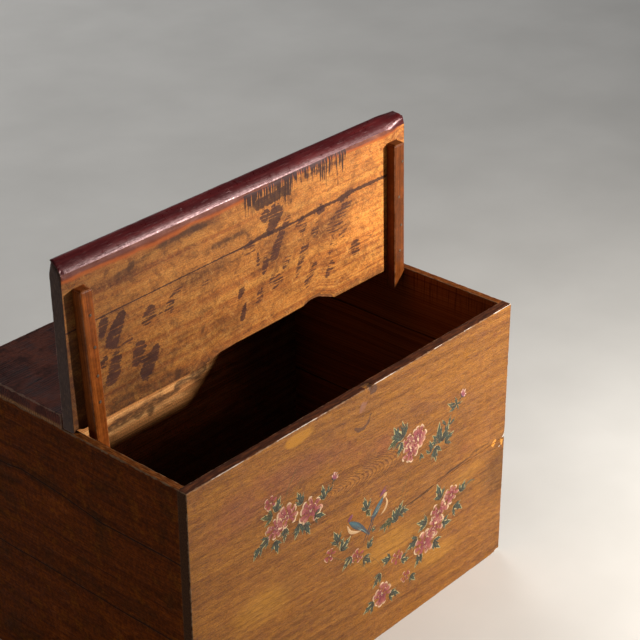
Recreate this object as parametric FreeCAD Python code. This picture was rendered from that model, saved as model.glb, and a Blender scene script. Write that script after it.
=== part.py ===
import FreeCAD, Part
import math
import os

# Wooden storage trunk with a half-opening lid.
# Row frame, millimetres: X along the front (left is -X), -Y is the front,
# +Z is up, origin on the floor under the middle of the case.
# The lid is drawn closed, then turned open about its pivot line: the stored
# pose is the open one.

# ------------------------------------------------------------------ sizes
W = 860.0            # outer width of case, rear top and lid
D = 558.0            # outer depth of the case
H = 565.5            # height of the rim
T_FRONT = 21.0       # front boards
T_SIDE = 16.0        # end boards
T_BACK = 16.0        # back boards
T_TOP = 27.6         # fixed rear top
T_LID = 27.6         # lid

Z_FRONT_SEAM = 267.0         # joint between the two front boards
Z_BACK_SEAM = 281.0          # joint between the two back boards
Z_LEFT_SEAMS = (250.0, 421.0)     # joints of the three left end boards
Z_RIGHT_SEAMS = (230.0, 434.0)    # joints of the three right end boards

CLEAT_W, CLEAT_H, CLEAT_Z = 20.0, 26.0, 4.0
T_BOTTOM = 14.0
BOTTOM_GAP = 0.6             # shrinkage gap between bottom boards

# pivot line of the lid (parallel to X) and the lid's place on it
PIVOT_Y = 0.0
PIVOT_Z = 580.0
A_UNDER = 14.2       # pivot line above the lid's underside, lid closed
B_REAR = 12.2        # pivot line in front of the lid's rear face, lid closed
OPEN_DEG = 90.7      # how far the lid stands open
REAR_TOP_FRONT_Y = 16.4      # front face of the fixed rear top
LID_UNDER = 294.0    # depth of the lid's underside
LID_NOSE = 25.0      # how far the slanted front edge leans out, before rounding
LID_SEAM_LEFT = 188.4        # lid board joint, distance from the rear edge
LID_SEAM_RIGHT = 198.6
R_NOSE_LOW = 4.0     # worn lower arris of the slanted edge
R_NOSE_TOP = 3.5     # worn upper arris of the slanted edge
R_REAR_TOP = 5.0     # worn rear upper arris, swings past the rear top
R_REAR_END = 11.0    # relief of the rear lower arris over the end boards

BATTEN_T = 20.0
LEFT_BATTEN_FRONT = (-409.0, -382.0)    # outer and inner side at its front end
LEFT_BATTEN_REAR = (-398.0, -369.5)     # the same at its tail: it was nailed on a little askew
RIGHT_BATTEN_FRONT = (408.0, 377.0)
RIGHT_BATTEN_REAR = (412.0, 381.0)
LEFT_BATTEN_S = 262.0        # front end, distance from the lid's rear edge
RIGHT_BATTEN_S = 266.0
# hook tails behind the lid's rear edge: where the slanted cut starts at the
# outer side, and the tip at the inner side; the left one is the longer of the two
LEFT_TAIL = (18.0, 49.0)
RIGHT_TAIL = (4.0, 37.0)
TAIL_RELIEF = 1.5    # tail top kept below the underside of the rear top

PIN_R = 2.5          # bamboo pins inside edge joints
PEG_R = 2.0          # pegs of the corner joints
NAIL_R = 1.5
NAIL_HEAD_R = 3.0
NAIL_HEAD_T = 0.9

FY = -D / 2.0        # front face
BY = D / 2.0         # rear face
SX = W / 2.0
IN_F = FY + T_FRONT  # inner faces
IN_B = BY - T_BACK
IN_X = SX - T_SIDE

LID_Z0 = PIVOT_Z - A_UNDER           # underside of the closed lid
LID_Z1 = LID_Z0 + T_LID
LID_REAR_Y = PIVOT_Y + B_REAR        # rear face of the closed lid
LID_FRONT_Y = LID_REAR_Y - LID_UNDER # lower front arris of the closed lid

V = FreeCAD.Vector


# ---------------------------------------------------------------- helpers
def box(x0, x1, y0, y1, z0, z1):
    return Part.makeBox(x1 - x0, y1 - y0, z1 - z0, V(x0, y0, z0))


def rod(r, p, q):
    """round rod from p to q"""
    a, b = V(*p), V(*q)
    d = b - a
    return Part.makeCylinder(r, d.Length, a, d)


def rounded_outline(pts, radii):
    """closed wire through 3-D points lying in one plane, with a tangent arc
    of the given radius at each corner (0 keeps it sharp)"""
    n = len(pts)
    ins, outs, mids = [], [], []
    for i in range(n):
        p = V(*pts[i])
        a = V(*pts[i - 1]) - p
        b = V(*pts[(i + 1) % n]) - p
        a.normalize()
        b.normalize()
        r = radii[i]
        if r <= 0:
            ins.append(p)
            outs.append(p)
            mids.append(None)
            continue
        half = a.getAngle(b) / 2.0
        t = r / math.tan(half)
        bis = a + b
        bis.normalize()
        c = p + bis * (r / math.sin(half))
        ins.append(p + a * t)
        outs.append(p + b * t)
        mids.append(c - bis * r)
    edges = []
    for i in range(n):
        if mids[i] is not None:
            edges.append(Part.Arc(ins[i], mids[i], outs[i]).toShape())
        j = (i + 1) % n
        if (ins[j] - outs[i]).Length > 1e-6:
            edges.append(Part.LineSegment(outs[i], ins[j]).toShape())
    return Part.Wire(edges)


def prism(pts, radii, direction):
    return Part.Face(rounded_outline(pts, radii)).extrude(V(*direction))


def soft_box(x0, x1, y0, y1, z0, z1, r, along):
    """board with its four long arrises eased by r; along is x, y or z"""
    if along == "x":
        pts = [(x0, y0, z0), (x0, y1, z0), (x0, y1, z1), (x0, y0, z1)]
        return prism(pts, [r] * 4, (x1 - x0, 0, 0))
    if along == "y":
        pts = [(x0, y0, z0), (x1, y0, z0), (x1, y0, z1), (x0, y0, z1)]
        return prism(pts, [r] * 4, (0, y1 - y0, 0))
    pts = [(x0, y0, z0), (x1, y0, z0), (x1, y1, z0), (x0, y1, z0)]
    return prism(pts, [r] * 4, (0, 0, z1 - z0))


def open_lid(shape):
    """turn a closed-lid shape to the stored open pose"""
    s = shape.copy()
    s.rotate(V(0, PIVOT_Y, PIVOT_Z), V(1, 0, 0), -OPEN_DEG)
    return s


nodes = {}

# ------------------------------------------------------- pegs and pins first
peg_z = (70.0, 190.0, 310.0, 385.0, 465.0, 530.0)
front_pegs = [rod(PEG_R, (sx * (SX - T_SIDE / 2), FY, z),
                  (sx * (SX - T_SIDE / 2), FY + 58.0, z))
              for sx in (-1, 1) for z in peg_z]
back_pegs = [rod(PEG_R, (sx * (SX - T_SIDE / 2), BY, z),
                 (sx * (SX - T_SIDE / 2), BY - 50.0, z))
             for sx in (-1, 1) for z in peg_z]
top_pegs = [rod(PEG_R, (sx * (SX - T_SIDE / 2), y, H + T_TOP),
                (sx * (SX - T_SIDE / 2), y, H - 32.0))
            for sx in (-1, 1) for y in (50.0, 140.0, 225.0)]
top_pegs += [rod(PEG_R, (x, BY - T_BACK / 2, H + T_TOP),
                 (x, BY - T_BACK / 2, H - 32.0))
             for x in (-310.0, -105.0, 105.0, 310.0)]

front_pins = [rod(PIN_R, (x, FY + T_FRONT / 2, Z_FRONT_SEAM - 26.0),
                  (x, FY + T_FRONT / 2, Z_FRONT_SEAM + 26.0))
              for x in (-330.0, -110.0, 110.0, 330.0)]
back_pins = [rod(PIN_R, (x, BY - T_BACK / 2, Z_BACK_SEAM - 26.0),
                 (x, BY - T_BACK / 2, Z_BACK_SEAM + 26.0))
             for x in (-330.0, -110.0, 110.0, 330.0)]
left_pins = [rod(PIN_R, (-SX + T_SIDE / 2, y, z - 22.0),
                 (-SX + T_SIDE / 2, y, z + 22.0))
             for z in Z_LEFT_SEAMS for y in (-150.0, 130.0)]
right_pins = [rod(PIN_R, (SX - T_SIDE / 2, y, z - 22.0),
                  (SX - T_SIDE / 2, y, z + 22.0))
              for z in Z_RIGHT_SEAMS for y in (-150.0, 130.0)]

# --------------------------------------------------------------- front boards
nodes["front_board_upper"] = box(-SX, SX, FY, IN_F, Z_FRONT_SEAM, H)
nodes["front_board_lower"] = box(-SX, SX, FY, IN_F, 0.0, Z_FRONT_SEAM)

# ----------------------------------------------------------------- end boards
for side, seams in (("left", Z_LEFT_SEAMS), ("right", Z_RIGHT_SEAMS)):
    x0, x1 = (-SX, -IN_X) if side == "left" else (IN_X, SX)
    levels = (0.0, seams[0], seams[1], H)
    for name, z0, z1 in zip(("bottom", "middle", "top"), levels[:-1], levels[1:]):
        nodes["%s_end_board_%s" % (side, name)] = box(x0, x1, IN_F, IN_B, z0, z1)

# ---------------------------------------------------------------- back boards
nodes["back_board_upper"] = box(-SX, SX, IN_B, BY, Z_BACK_SEAM, H)
nodes["back_board_lower"] = box(-SX, SX, IN_B, BY, 0.0, Z_BACK_SEAM)

# ---------------------------------------------------------- bottom and cleats
z_floor = CLEAT_Z + CLEAT_H
nodes["left_bottom_cleat"] = box(-IN_X, -IN_X + CLEAT_W, IN_F, IN_B, CLEAT_Z, z_floor)
nodes["right_bottom_cleat"] = box(IN_X - CLEAT_W, IN_X, IN_F, IN_B, CLEAT_Z, z_floor)
inner_depth = IN_B - IN_F
bw = (inner_depth - 2 * BOTTOM_GAP) / 3.0
bottom_mid_y = []
for i, name in enumerate(("front", "middle", "rear")):
    y0 = IN_F + i * (bw + BOTTOM_GAP)
    nodes["bottom_board_" + name] = box(-IN_X, IN_X, y0, y0 + bw, z_floor, z_floor + T_BOTTOM)
    bottom_mid_y.append(y0 + bw / 2.0)

bottom_pegs = [rod(PEG_R, (sx * (IN_X - CLEAT_W / 2), y + dy, z_floor + T_BOTTOM),
                   (sx * (IN_X - CLEAT_W / 2), y + dy, z_floor - 18.0))
               for sx in (-1, 1) for y in bottom_mid_y for dy in (-52.0, 52.0)]
cleat_nails = [rod(NAIL_R, (sx * (IN_X - CLEAT_W), y, CLEAT_Z + 7.0),
                   (sx * (IN_X + 11.0), y, CLEAT_Z + 7.0))
               for sx in (-1, 1) for y in (-210.0, -70.0, 80.0, 220.0)]

# ------------------------------------------------------------- fixed rear top
nodes["rear_top_board"] = prism(
    [(-SX, REAR_TOP_FRONT_Y, H), (-SX, BY, H),
     (-SX, BY, H + T_TOP), (-SX, REAR_TOP_FRONT_Y, H + T_TOP)],
    [0, 0, 2.5, 2.0], (W, 0, 0))

# ------------------------------------------------------------------------ lid
lid_all = prism(
    [(-SX, LID_REAR_Y, LID_Z0), (-SX, LID_REAR_Y, LID_Z1),
     (-SX, LID_FRONT_Y - LID_NOSE, LID_Z1), (-SX, LID_FRONT_Y, LID_Z0)],
    [1.0, R_REAR_TOP, R_NOSE_TOP, R_NOSE_LOW], (W, 0, 0))

# relief of the rear lower arris where it swings over the end boards
for x0, x1 in ((-SX - 1.0, -IN_X + 2.0), (IN_X - 2.0, SX + 1.0)):
    block = box(x0, x1, LID_REAR_Y - R_REAR_END, LID_REAR_Y + 1.0,
                LID_Z0 - 1.0, LID_Z0 + R_REAR_END)
    barrel = rod(R_REAR_END, (x0, LID_REAR_Y - R_REAR_END, LID_Z0 + R_REAR_END),
                 (x1, LID_REAR_Y - R_REAR_END, LID_Z0 + R_REAR_END))
    lid_all = lid_all.cut(block.cut(barrel))

# natural (waney) stretch of the rear edge: distance cut away along X
wane = [(-128.0, 0.0), (-104.0, 5.0), (-82.0, 10.2), (-40.0, 12.0), (30.0, 12.4),
        (100.0, 13.6), (140.0, 15.2), (162.0, 19.6), (182.0, 18.6), (204.0, 8.6),
        (226.0, 0.0)]
wane_pts = [V(x, LID_REAR_Y - s, LID_Z0 - 5.0) for x, s in wane]
wane_pts += [V(wane[-1][0], LID_REAR_Y + 6.0, LID_Z0 - 5.0),
             V(wane[0][0], LID_REAR_Y + 6.0, LID_Z0 - 5.0), wane_pts[0]]
wane_cut = Part.Face(Part.makePolygon(wane_pts)).extrude(V(0, 0, T_LID + 10.0))
lid_all = lid_all.cut(wane_cut)

# the two lid boards meet on a slightly oblique joint
y_l = LID_REAR_Y - LID_SEAM_LEFT
y_r = LID_REAR_Y - LID_SEAM_RIGHT
rear_zone = Part.Face(Part.makePolygon([
    V(-SX - 5, y_l, LID_Z0 - 5), V(SX + 5, y_r, LID_Z0 - 5),
    V(SX + 5, LID_REAR_Y + 20, LID_Z0 - 5), V(-SX - 5, LID_REAR_Y + 20, LID_Z0 - 5),
    V(-SX - 5, y_l, LID_Z0 - 5)])).extrude(V(0, 0, T_LID + 10))
lid_rear = lid_all.common(rear_zone)
lid_front = lid_all.cut(rear_zone)

lid_pins = []
for x in (-320.0, -105.0, 115.0, 325.0):
    ys = y_l + (y_r - y_l) * (x + SX) / W
    lid_pins.append(rod(PIN_R, (x, ys - 25.0, LID_Z0 + T_LID / 2),
                        (x, ys + 25.0, LID_Z0 + T_LID / 2)))


def batten(front, rear, s_front, tail):
    """nailed batten with a hook tail: front and rear hold its outer and inner
    side at each end; the tail's end is cut slanting, longest at the inner side"""
    z1 = LID_Z0
    z0 = LID_Z0 - BATTEN_T
    y_front = LID_REAR_Y - s_front
    y_tip = LID_REAR_Y + tail[1]
    y_short = LID_REAR_Y + tail[0]
    (x_out, x_in), (x_out_r, x_in_r) = front, rear
    sgn = 1.0 if x_in > x_out else -1.0
    body = Part.Face(Part.makePolygon([
        V(x_out, y_front, z0), V(x_in, y_front, z0), V(x_in_r, y_tip, z0),
        V(x_in_r - sgn * 2.0, y_tip, z0), V(x_out_r, y_short, z0),
        V(x_out, y_front, z0)])).extrude(V(0, 0, BATTEN_T))
    # eased arrises on the exposed face, a wider one at the front end
    long_edges, end_edges = [], []
    for e in body.Edges:
        bb = e.BoundBox
        if bb.ZMax > z0 + 0.01:
            continue
        if bb.YLength > 100.0:
            long_edges.append(e)
    body = body.makeChamfer(2.2, long_edges)
    for e in body.Edges:
        bb = e.BoundBox
        if bb.ZMax < z0 + 0.01 and bb.YMax < y_front + 0.01:
            end_edges.append(e)
    body = body.makeChamfer(4.0, end_edges)
    # tail thinned so that it slips under the rear top
    relief = box(min(x_out, x_in, x_out_r, x_in_r) - 1, max(x_out, x_in, x_out_r, x_in_r) + 1,
                 LID_REAR_Y - 6.0, y_tip + 5, z1 - TAIL_RELIEF, z1 + 5)
    return body.cut(relief)


left_batten = batten(LEFT_BATTEN_FRONT, LEFT_BATTEN_REAR, LEFT_BATTEN_S, LEFT_TAIL)
right_batten = batten(RIGHT_BATTEN_FRONT, RIGHT_BATTEN_REAR, RIGHT_BATTEN_S, RIGHT_TAIL)

# round-headed nails through the battens into the lid
nail_at = [(-391.5, 215.0), (-386.7, 154.0), (-385.5, 100.0), (-385.1, 50.3),
           (400.6, 227.8), (391.5, 157.0), (398.5, 96.0), (395.0, 42.0)]
nails = []
for x, s in nail_at:
    y = LID_REAR_Y - s
    z_face = LID_Z0 - BATTEN_T
    shank = rod(NAIL_R, (x, y, z_face), (x, y, LID_Z0 + 19.0))
    head = rod(NAIL_HEAD_R, (x, y, z_face - NAIL_HEAD_T), (x, y, z_face))
    nails.append(shank.fuse(head).removeSplitter())


def take_out(shape, tools):
    for t in tools:
        if shape.BoundBox.intersect(t.BoundBox):
            shape = shape.cut(t)
    return shape


# holes that the pegs, pins and nails fill
for n in ("front_board_upper", "front_board_lower"):
    nodes[n] = take_out(nodes[n], front_pegs + front_pins)
for n in ("back_board_upper", "back_board_lower"):
    nodes[n] = take_out(nodes[n], back_pegs + back_pins + top_pegs)
for lev in ("bottom", "middle", "top"):
    n = "left_end_board_" + lev
    nodes[n] = take_out(nodes[n], front_pegs + back_pegs + top_pegs + left_pins + cleat_nails)
    n = "right_end_board_" + lev
    nodes[n] = take_out(nodes[n], front_pegs + back_pegs + top_pegs + right_pins + cleat_nails)
nodes["rear_top_board"] = take_out(nodes["rear_top_board"], top_pegs)
for n in ("front", "middle", "rear"):
    nodes["bottom_board_" + n] = take_out(nodes["bottom_board_" + n], bottom_pegs)
for n in ("left_bottom_cleat", "right_bottom_cleat"):
    nodes[n] = take_out(nodes[n], bottom_pegs + cleat_nails)
lid_rear = take_out(lid_rear, lid_pins + nails)
lid_front = take_out(lid_front, lid_pins + nails)
left_batten = take_out(left_batten, nails)
right_batten = take_out(right_batten, nails)

nodes["front_corner_pegs"] = Part.makeCompound(front_pegs)
nodes["back_corner_pegs"] = Part.makeCompound(back_pegs)
nodes["rear_top_pegs"] = Part.makeCompound(top_pegs)
nodes["bottom_board_pegs"] = Part.makeCompound(bottom_pegs)
nodes["bottom_cleat_nails"] = Part.makeCompound(cleat_nails)
nodes["front_edge_pins"] = Part.makeCompound(front_pins)
nodes["back_edge_pins"] = Part.makeCompound(back_pins)
nodes["left_end_edge_pins"] = Part.makeCompound(left_pins)
nodes["right_end_edge_pins"] = Part.makeCompound(right_pins)

nodes["lid_rear_board"] = open_lid(lid_rear)
nodes["lid_front_board"] = open_lid(lid_front)
nodes["left_lid_batten"] = open_lid(left_batten)
nodes["right_lid_batten"] = open_lid(right_batten)
nodes["lid_batten_nails"] = open_lid(Part.makeCompound(nails))
nodes["lid_edge_pins"] = open_lid(Part.makeCompound(lid_pins))

os.makedirs("parts", exist_ok=True)
bb = FreeCAD.BoundBox()
lid_vol, lid_mom = 0.0, V(0, 0, 0)
for name in sorted(nodes):
    s = nodes[name]
    solids = s.Solids
    assert solids and all(k.isValid() for k in solids), name
    s.exportStep("parts/%s.step" % name)
    bb.add(s.BoundBox)
    if name.startswith("lid_") or name.endswith("lid_batten"):
        for k in solids:
            lid_vol += k.Volume
            lid_mom += k.CenterOfMass * k.Volume
    print("%-24s solids %2d  volume %12.1f" % (name, len(solids), s.Volume))
print("box", [round(v, 2) for v in (bb.XMin, bb.YMin, bb.ZMin, bb.XMax, bb.YMax, bb.ZMax)])
com = lid_mom * (1.0 / lid_vol)
print("lid volume", round(lid_vol, 1), "centre", [round(c, 2) for c in com],
      "pivot", PIVOT_Y, PIVOT_Z)
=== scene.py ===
import math

import bpy
import numpy as np
from mathutils import Matrix, Vector


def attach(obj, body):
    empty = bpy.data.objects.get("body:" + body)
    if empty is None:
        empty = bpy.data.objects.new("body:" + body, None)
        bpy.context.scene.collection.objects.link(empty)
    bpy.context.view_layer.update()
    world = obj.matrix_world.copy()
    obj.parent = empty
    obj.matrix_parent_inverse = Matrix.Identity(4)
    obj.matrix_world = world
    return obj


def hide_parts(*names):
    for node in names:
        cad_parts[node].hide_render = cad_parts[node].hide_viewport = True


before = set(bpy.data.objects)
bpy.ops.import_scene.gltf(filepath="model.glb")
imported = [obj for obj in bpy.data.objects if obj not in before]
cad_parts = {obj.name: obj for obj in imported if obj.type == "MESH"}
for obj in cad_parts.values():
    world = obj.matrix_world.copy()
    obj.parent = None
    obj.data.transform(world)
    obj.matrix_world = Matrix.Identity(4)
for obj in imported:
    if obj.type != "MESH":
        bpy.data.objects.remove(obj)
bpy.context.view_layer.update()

# Wooden storage trunk with a half-opening lid. Numbers are millimetres in the
# row frame (X along the front, -Y the front, +Z up) unless a name says metres.

# ------------------------------------------------------------------ camera
YAW, PITCH, ROLL = 48.179, 28.311, -0.244
cam_data = bpy.data.cameras.new("camera")
cam_data.sensor_width = 36.0
cam_data.lens = 101.8125
cam_data.clip_start, cam_data.clip_end = 0.05, 60.0
cam = bpy.data.objects.new("camera", cam_data)
bpy.context.scene.collection.objects.link(cam)
a_, b_, c_ = (math.radians(v) for v in (YAW, PITCH, ROLL))
d_ = Vector((math.sin(a_) * math.cos(b_), math.cos(a_) * math.cos(b_), -math.sin(b_)))
r_ = Vector((math.cos(a_), -math.sin(a_), 0.0))
u_ = r_.cross(d_)
rr = math.cos(c_) * r_ + math.sin(c_) * u_
uu = -math.sin(c_) * r_ + math.cos(c_) * u_
m_ = Matrix((rr, uu, -d_)).transposed().to_4x4()
m_.translation = (-2.0620, -2.0237, 2.1591)
cam.matrix_world = m_
bpy.context.scene.camera = cam
bpy.context.scene.view_settings.view_transform = "Standard"


# ------------------------------------------------------------------ noise in numpy
def hash01(ix, iy, seed):
    h = (ix * 374761393 + iy * 668265263 + seed * 1274126177) & 0xFFFFFFFF
    h = ((h ^ (h >> 13)) * 1274126177) & 0xFFFFFFFF
    h = h ^ (h >> 16)
    return (h & 0xFFFFFF) / float(0xFFFFFF)


def vnoise(x, y, seed=0):
    x = np.asarray(x, float)
    y = np.asarray(y, float) + 0.0 * x
    x = x + 0.0 * y
    ix, iy = np.floor(x).astype(np.int64), np.floor(y).astype(np.int64)
    fx, fy = x - ix, y - iy
    fx, fy = fx * fx * (3 - 2 * fx), fy * fy * (3 - 2 * fy)
    a, b = hash01(ix, iy, seed), hash01(ix + 1, iy, seed)
    c, d = hash01(ix, iy + 1, seed), hash01(ix + 1, iy + 1, seed)
    return (a + (b - a) * fx) * (1 - fy) + (c + (d - c) * fx) * fy


def fbm(x, y, seed=0, octaves=4, gain=0.5):
    s, amp, tot, f = 0.0, 1.0, 0.0, 1.0
    for o in range(octaves):
        s = s + amp * vnoise(np.asarray(x) * f, np.asarray(y) * f, seed + 31 * o)
        tot += amp
        amp *= gain
        f *= 2.03
    return s / tot


def sstep(v, lo, hi):
    t = np.clip((v - lo) / (hi - lo), 0, 1)
    return t * t * (3 - 2 * t)


def polyline(x, pts):
    p = np.array(pts, float)
    return np.interp(x, p[:, 0], p[:, 1])


# ------------------------------------------------------------------ mesh helpers
def mesh_object(name, V, F, attrs=None, smooth=True, mat=None):
    """V in mm, F an array of quads (or a list of polygons)"""
    me = bpy.data.meshes.new(name)
    V = np.asarray(V, float) * 0.001
    if isinstance(F, np.ndarray):
        me.vertices.add(len(V))
        me.vertices.foreach_set("co", V.astype(np.float32).ravel())
        me.loops.add(F.size)
        me.loops.foreach_set("vertex_index", F.astype(np.int32).ravel())
        me.polygons.add(len(F))
        k = F.shape[1]
        me.polygons.foreach_set("loop_start", np.arange(0, F.size, k, dtype=np.int32))
        me.polygons.foreach_set("loop_total", np.full(len(F), k, dtype=np.int32))
        me.update(calc_edges=True)
    else:
        me.from_pydata([tuple(v) for v in V], [], F)
    for key, val in (attrs or {}).items():
        val = np.asarray(val, np.float32)
        if val.ndim == 2 and val.shape[1] == 3 and key.startswith("c_"):
            at = me.attributes.new(key, "FLOAT_COLOR", "POINT")
            at.data.foreach_set("color", np.concatenate(
                [val, np.ones((len(val), 1), np.float32)], 1).ravel())
        elif val.ndim == 2:
            at = me.attributes.new(key, "FLOAT_VECTOR", "POINT")
            at.data.foreach_set("vector", val.ravel())
        else:
            at = me.attributes.new(key, "FLOAT", "POINT")
            at.data.foreach_set("value", val.ravel())
    if smooth:
        me.polygons.foreach_set("use_smooth", np.ones(len(me.polygons), bool))
    me.validate()
    ob = bpy.data.objects.new(name, me)
    bpy.context.scene.collection.objects.link(ob)
    if mat is not None:
        me.materials.append(mat)
    return ob


def surface_quads(na, nb, nc):
    on = np.zeros((na, nb, nc), bool)
    on[0] = on[-1] = True
    on[:, 0] = on[:, -1] = True
    on[:, :, 0] = on[:, :, -1] = True
    idx = -np.ones((na, nb, nc), np.int64)
    idx[on] = np.arange(on.sum())
    I, J, K = np.nonzero(on)
    out = []

    def fwd(g):
        out.append(np.stack([g[:-1, :-1].ravel(), g[1:, :-1].ravel(),
                             g[1:, 1:].ravel(), g[:-1, 1:].ravel()], 1))

    def rev(g):
        out.append(np.stack([g[:-1, :-1].ravel(), g[:-1, 1:].ravel(),
                             g[1:, 1:].ravel(), g[1:, :-1].ravel()], 1))

    rev(idx[:, :, 0]); fwd(idx[:, :, -1])
    fwd(idx[:, 0, :]); rev(idx[:, -1, :])
    rev(idx[0]); fwd(idx[-1])
    return I, J, K, np.concatenate(out)


def spaced(length, step, fine=(0.0, 0.3, 0.8, 1.6, 2.8, 4.4)):
    fine = [f for f in fine if f < length * 0.4]
    n = max(2, int(round((length - 2 * fine[-1]) / step)))
    mid = np.linspace(fine[-1], length - fine[-1], n + 1)
    return np.concatenate([fine[:-1], mid, (length - np.array(fine[:-1]))[::-1]])


PAIRS = [(0, 2), (0, 3), (0, 4), (0, 5), (1, 2), (1, 3), (1, 4), (1, 5),
         (2, 4), (2, 5), (3, 4), (3, 5)]
SIDE = {"a-": 0, "a+": 1, "b-": 2, "b+": 3, "c-": 4, "c+": 5}


def board(name, L, B, T, place, step, arris, nodes=(), body="case",
          mat=None, seed=0, chips=0.5, relief=None, paint=None, gc_off=(0, 0, 0)):
    """One board as a closed mesh. a runs along the grain (0..L), b across it
    (0..B), c through its thickness (0..T). arris gives the rounding of each
    edge, by the pair of faces it lies between; hidden joints get a small one.
    place(a, b, c) returns x, y, z in mm."""
    A, Bv, C = spaced(L, step[0]), spaced(B, step[1]), spaced(T, step[2])
    I, J, K, F = surface_quads(len(A), len(Bv), len(C))
    p = np.stack([A[I], Bv[J], C[K]], 1)
    dims = np.array([L, B, T])
    d6 = np.stack([p[:, 0], L - p[:, 0], p[:, 1], B - p[:, 1], p[:, 2], T - p[:, 2]], 1)
    # rounding of the nearest arrises
    wsum, rsum, worn = 0.0, 0.0, 0.0
    for i, j in PAIRS:
        spec = arris.get((i, j), arris["all"])
        r, wear = spec if isinstance(spec, tuple) else (spec, 1.0)
        if callable(r):
            r = r(p)
        dist = np.hypot(d6[:, i], d6[:, j])
        w = 1.0 / (dist + 0.6) ** 5
        wsum, rsum, worn = wsum + w, rsum + w * r, worn + w * wear
    r = rsum / wsum
    worn = worn / wsum
    srt = np.sort(d6, 1)
    edge = srt[:, 1]
    u, v = p[:, 0], p[:, 1] + 0.7 * p[:, 2]
    vary = np.clip(1.5 / np.maximum(r, 1.5), 0.08, 1.0)
    r = r * (1.0 + vary * (fbm(u / 23.0, v / 17.0, seed + 5, 3) - 0.5))
    r = np.clip(r, 0.05, min(dims) * 0.45)[:, None]
    q = np.clip(p, r, dims - r)
    dv = p - q
    ln = np.linalg.norm(dv, axis=1, keepdims=True)
    dirn = dv / np.maximum(ln, 1e-9)
    pp = q + r * dirn
    # worn dents and chips along the exposed arrises, faint unevenness on faces
    n1 = fbm(u / 9.0, v / 6.0, seed + 11, 4)
    n2 = fbm(u / 60.0, v / 25.0, seed + 17, 3)
    dent = np.clip(n1 - 0.56, 0, 1) * 6.0 * chips * worn * np.exp(-edge / 2.2) * (0.3 + 0.7 * vary)
    dent += 0.10 * n2 + 0.05 * fbm(u / 14.0, v / 2.5, seed + 23, 2)
    if relief is not None:
        dent += relief(p, edge, worn)
    pp = pp - dirn * dent[:, None]
    xyz = np.stack(place(pp[:, 0], pp[:, 1], pp[:, 2]), 1)
    # orientation: outward faces
    t = xyz[F[:, :3]]
    vol = np.einsum("ij,ij->i", t[:, 0], np.cross(t[:, 1], t[:, 2])).sum()
    if vol < 0:
        F = F[:, ::-1]
    at = {"gc": (p + np.array(gc_off)) * 0.001, "edge": edge, "worn": worn,
          "cf": p[:, 2] / T}
    if paint is not None:
        at.update(paint(p, xyz))
    ob = mesh_object(name, xyz, F, at, True, mat)
    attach(ob, body)
    if nodes:
        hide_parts(*nodes)
    return ob


# ------------------------------------------------------------------ materials
def srgb(r, g, b):
    def f(c):
        c = c / 255.0
        return c / 12.92 if c <= 0.04045 else ((c + 0.055) / 1.055) ** 2.4
    return (f(r), f(g), f(b), 1.0)


def tint(stops, r, g, b):
    return [(p, (c[0] * r, c[1] * g, c[2] * b, 1.0)) for p, c in stops]


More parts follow.
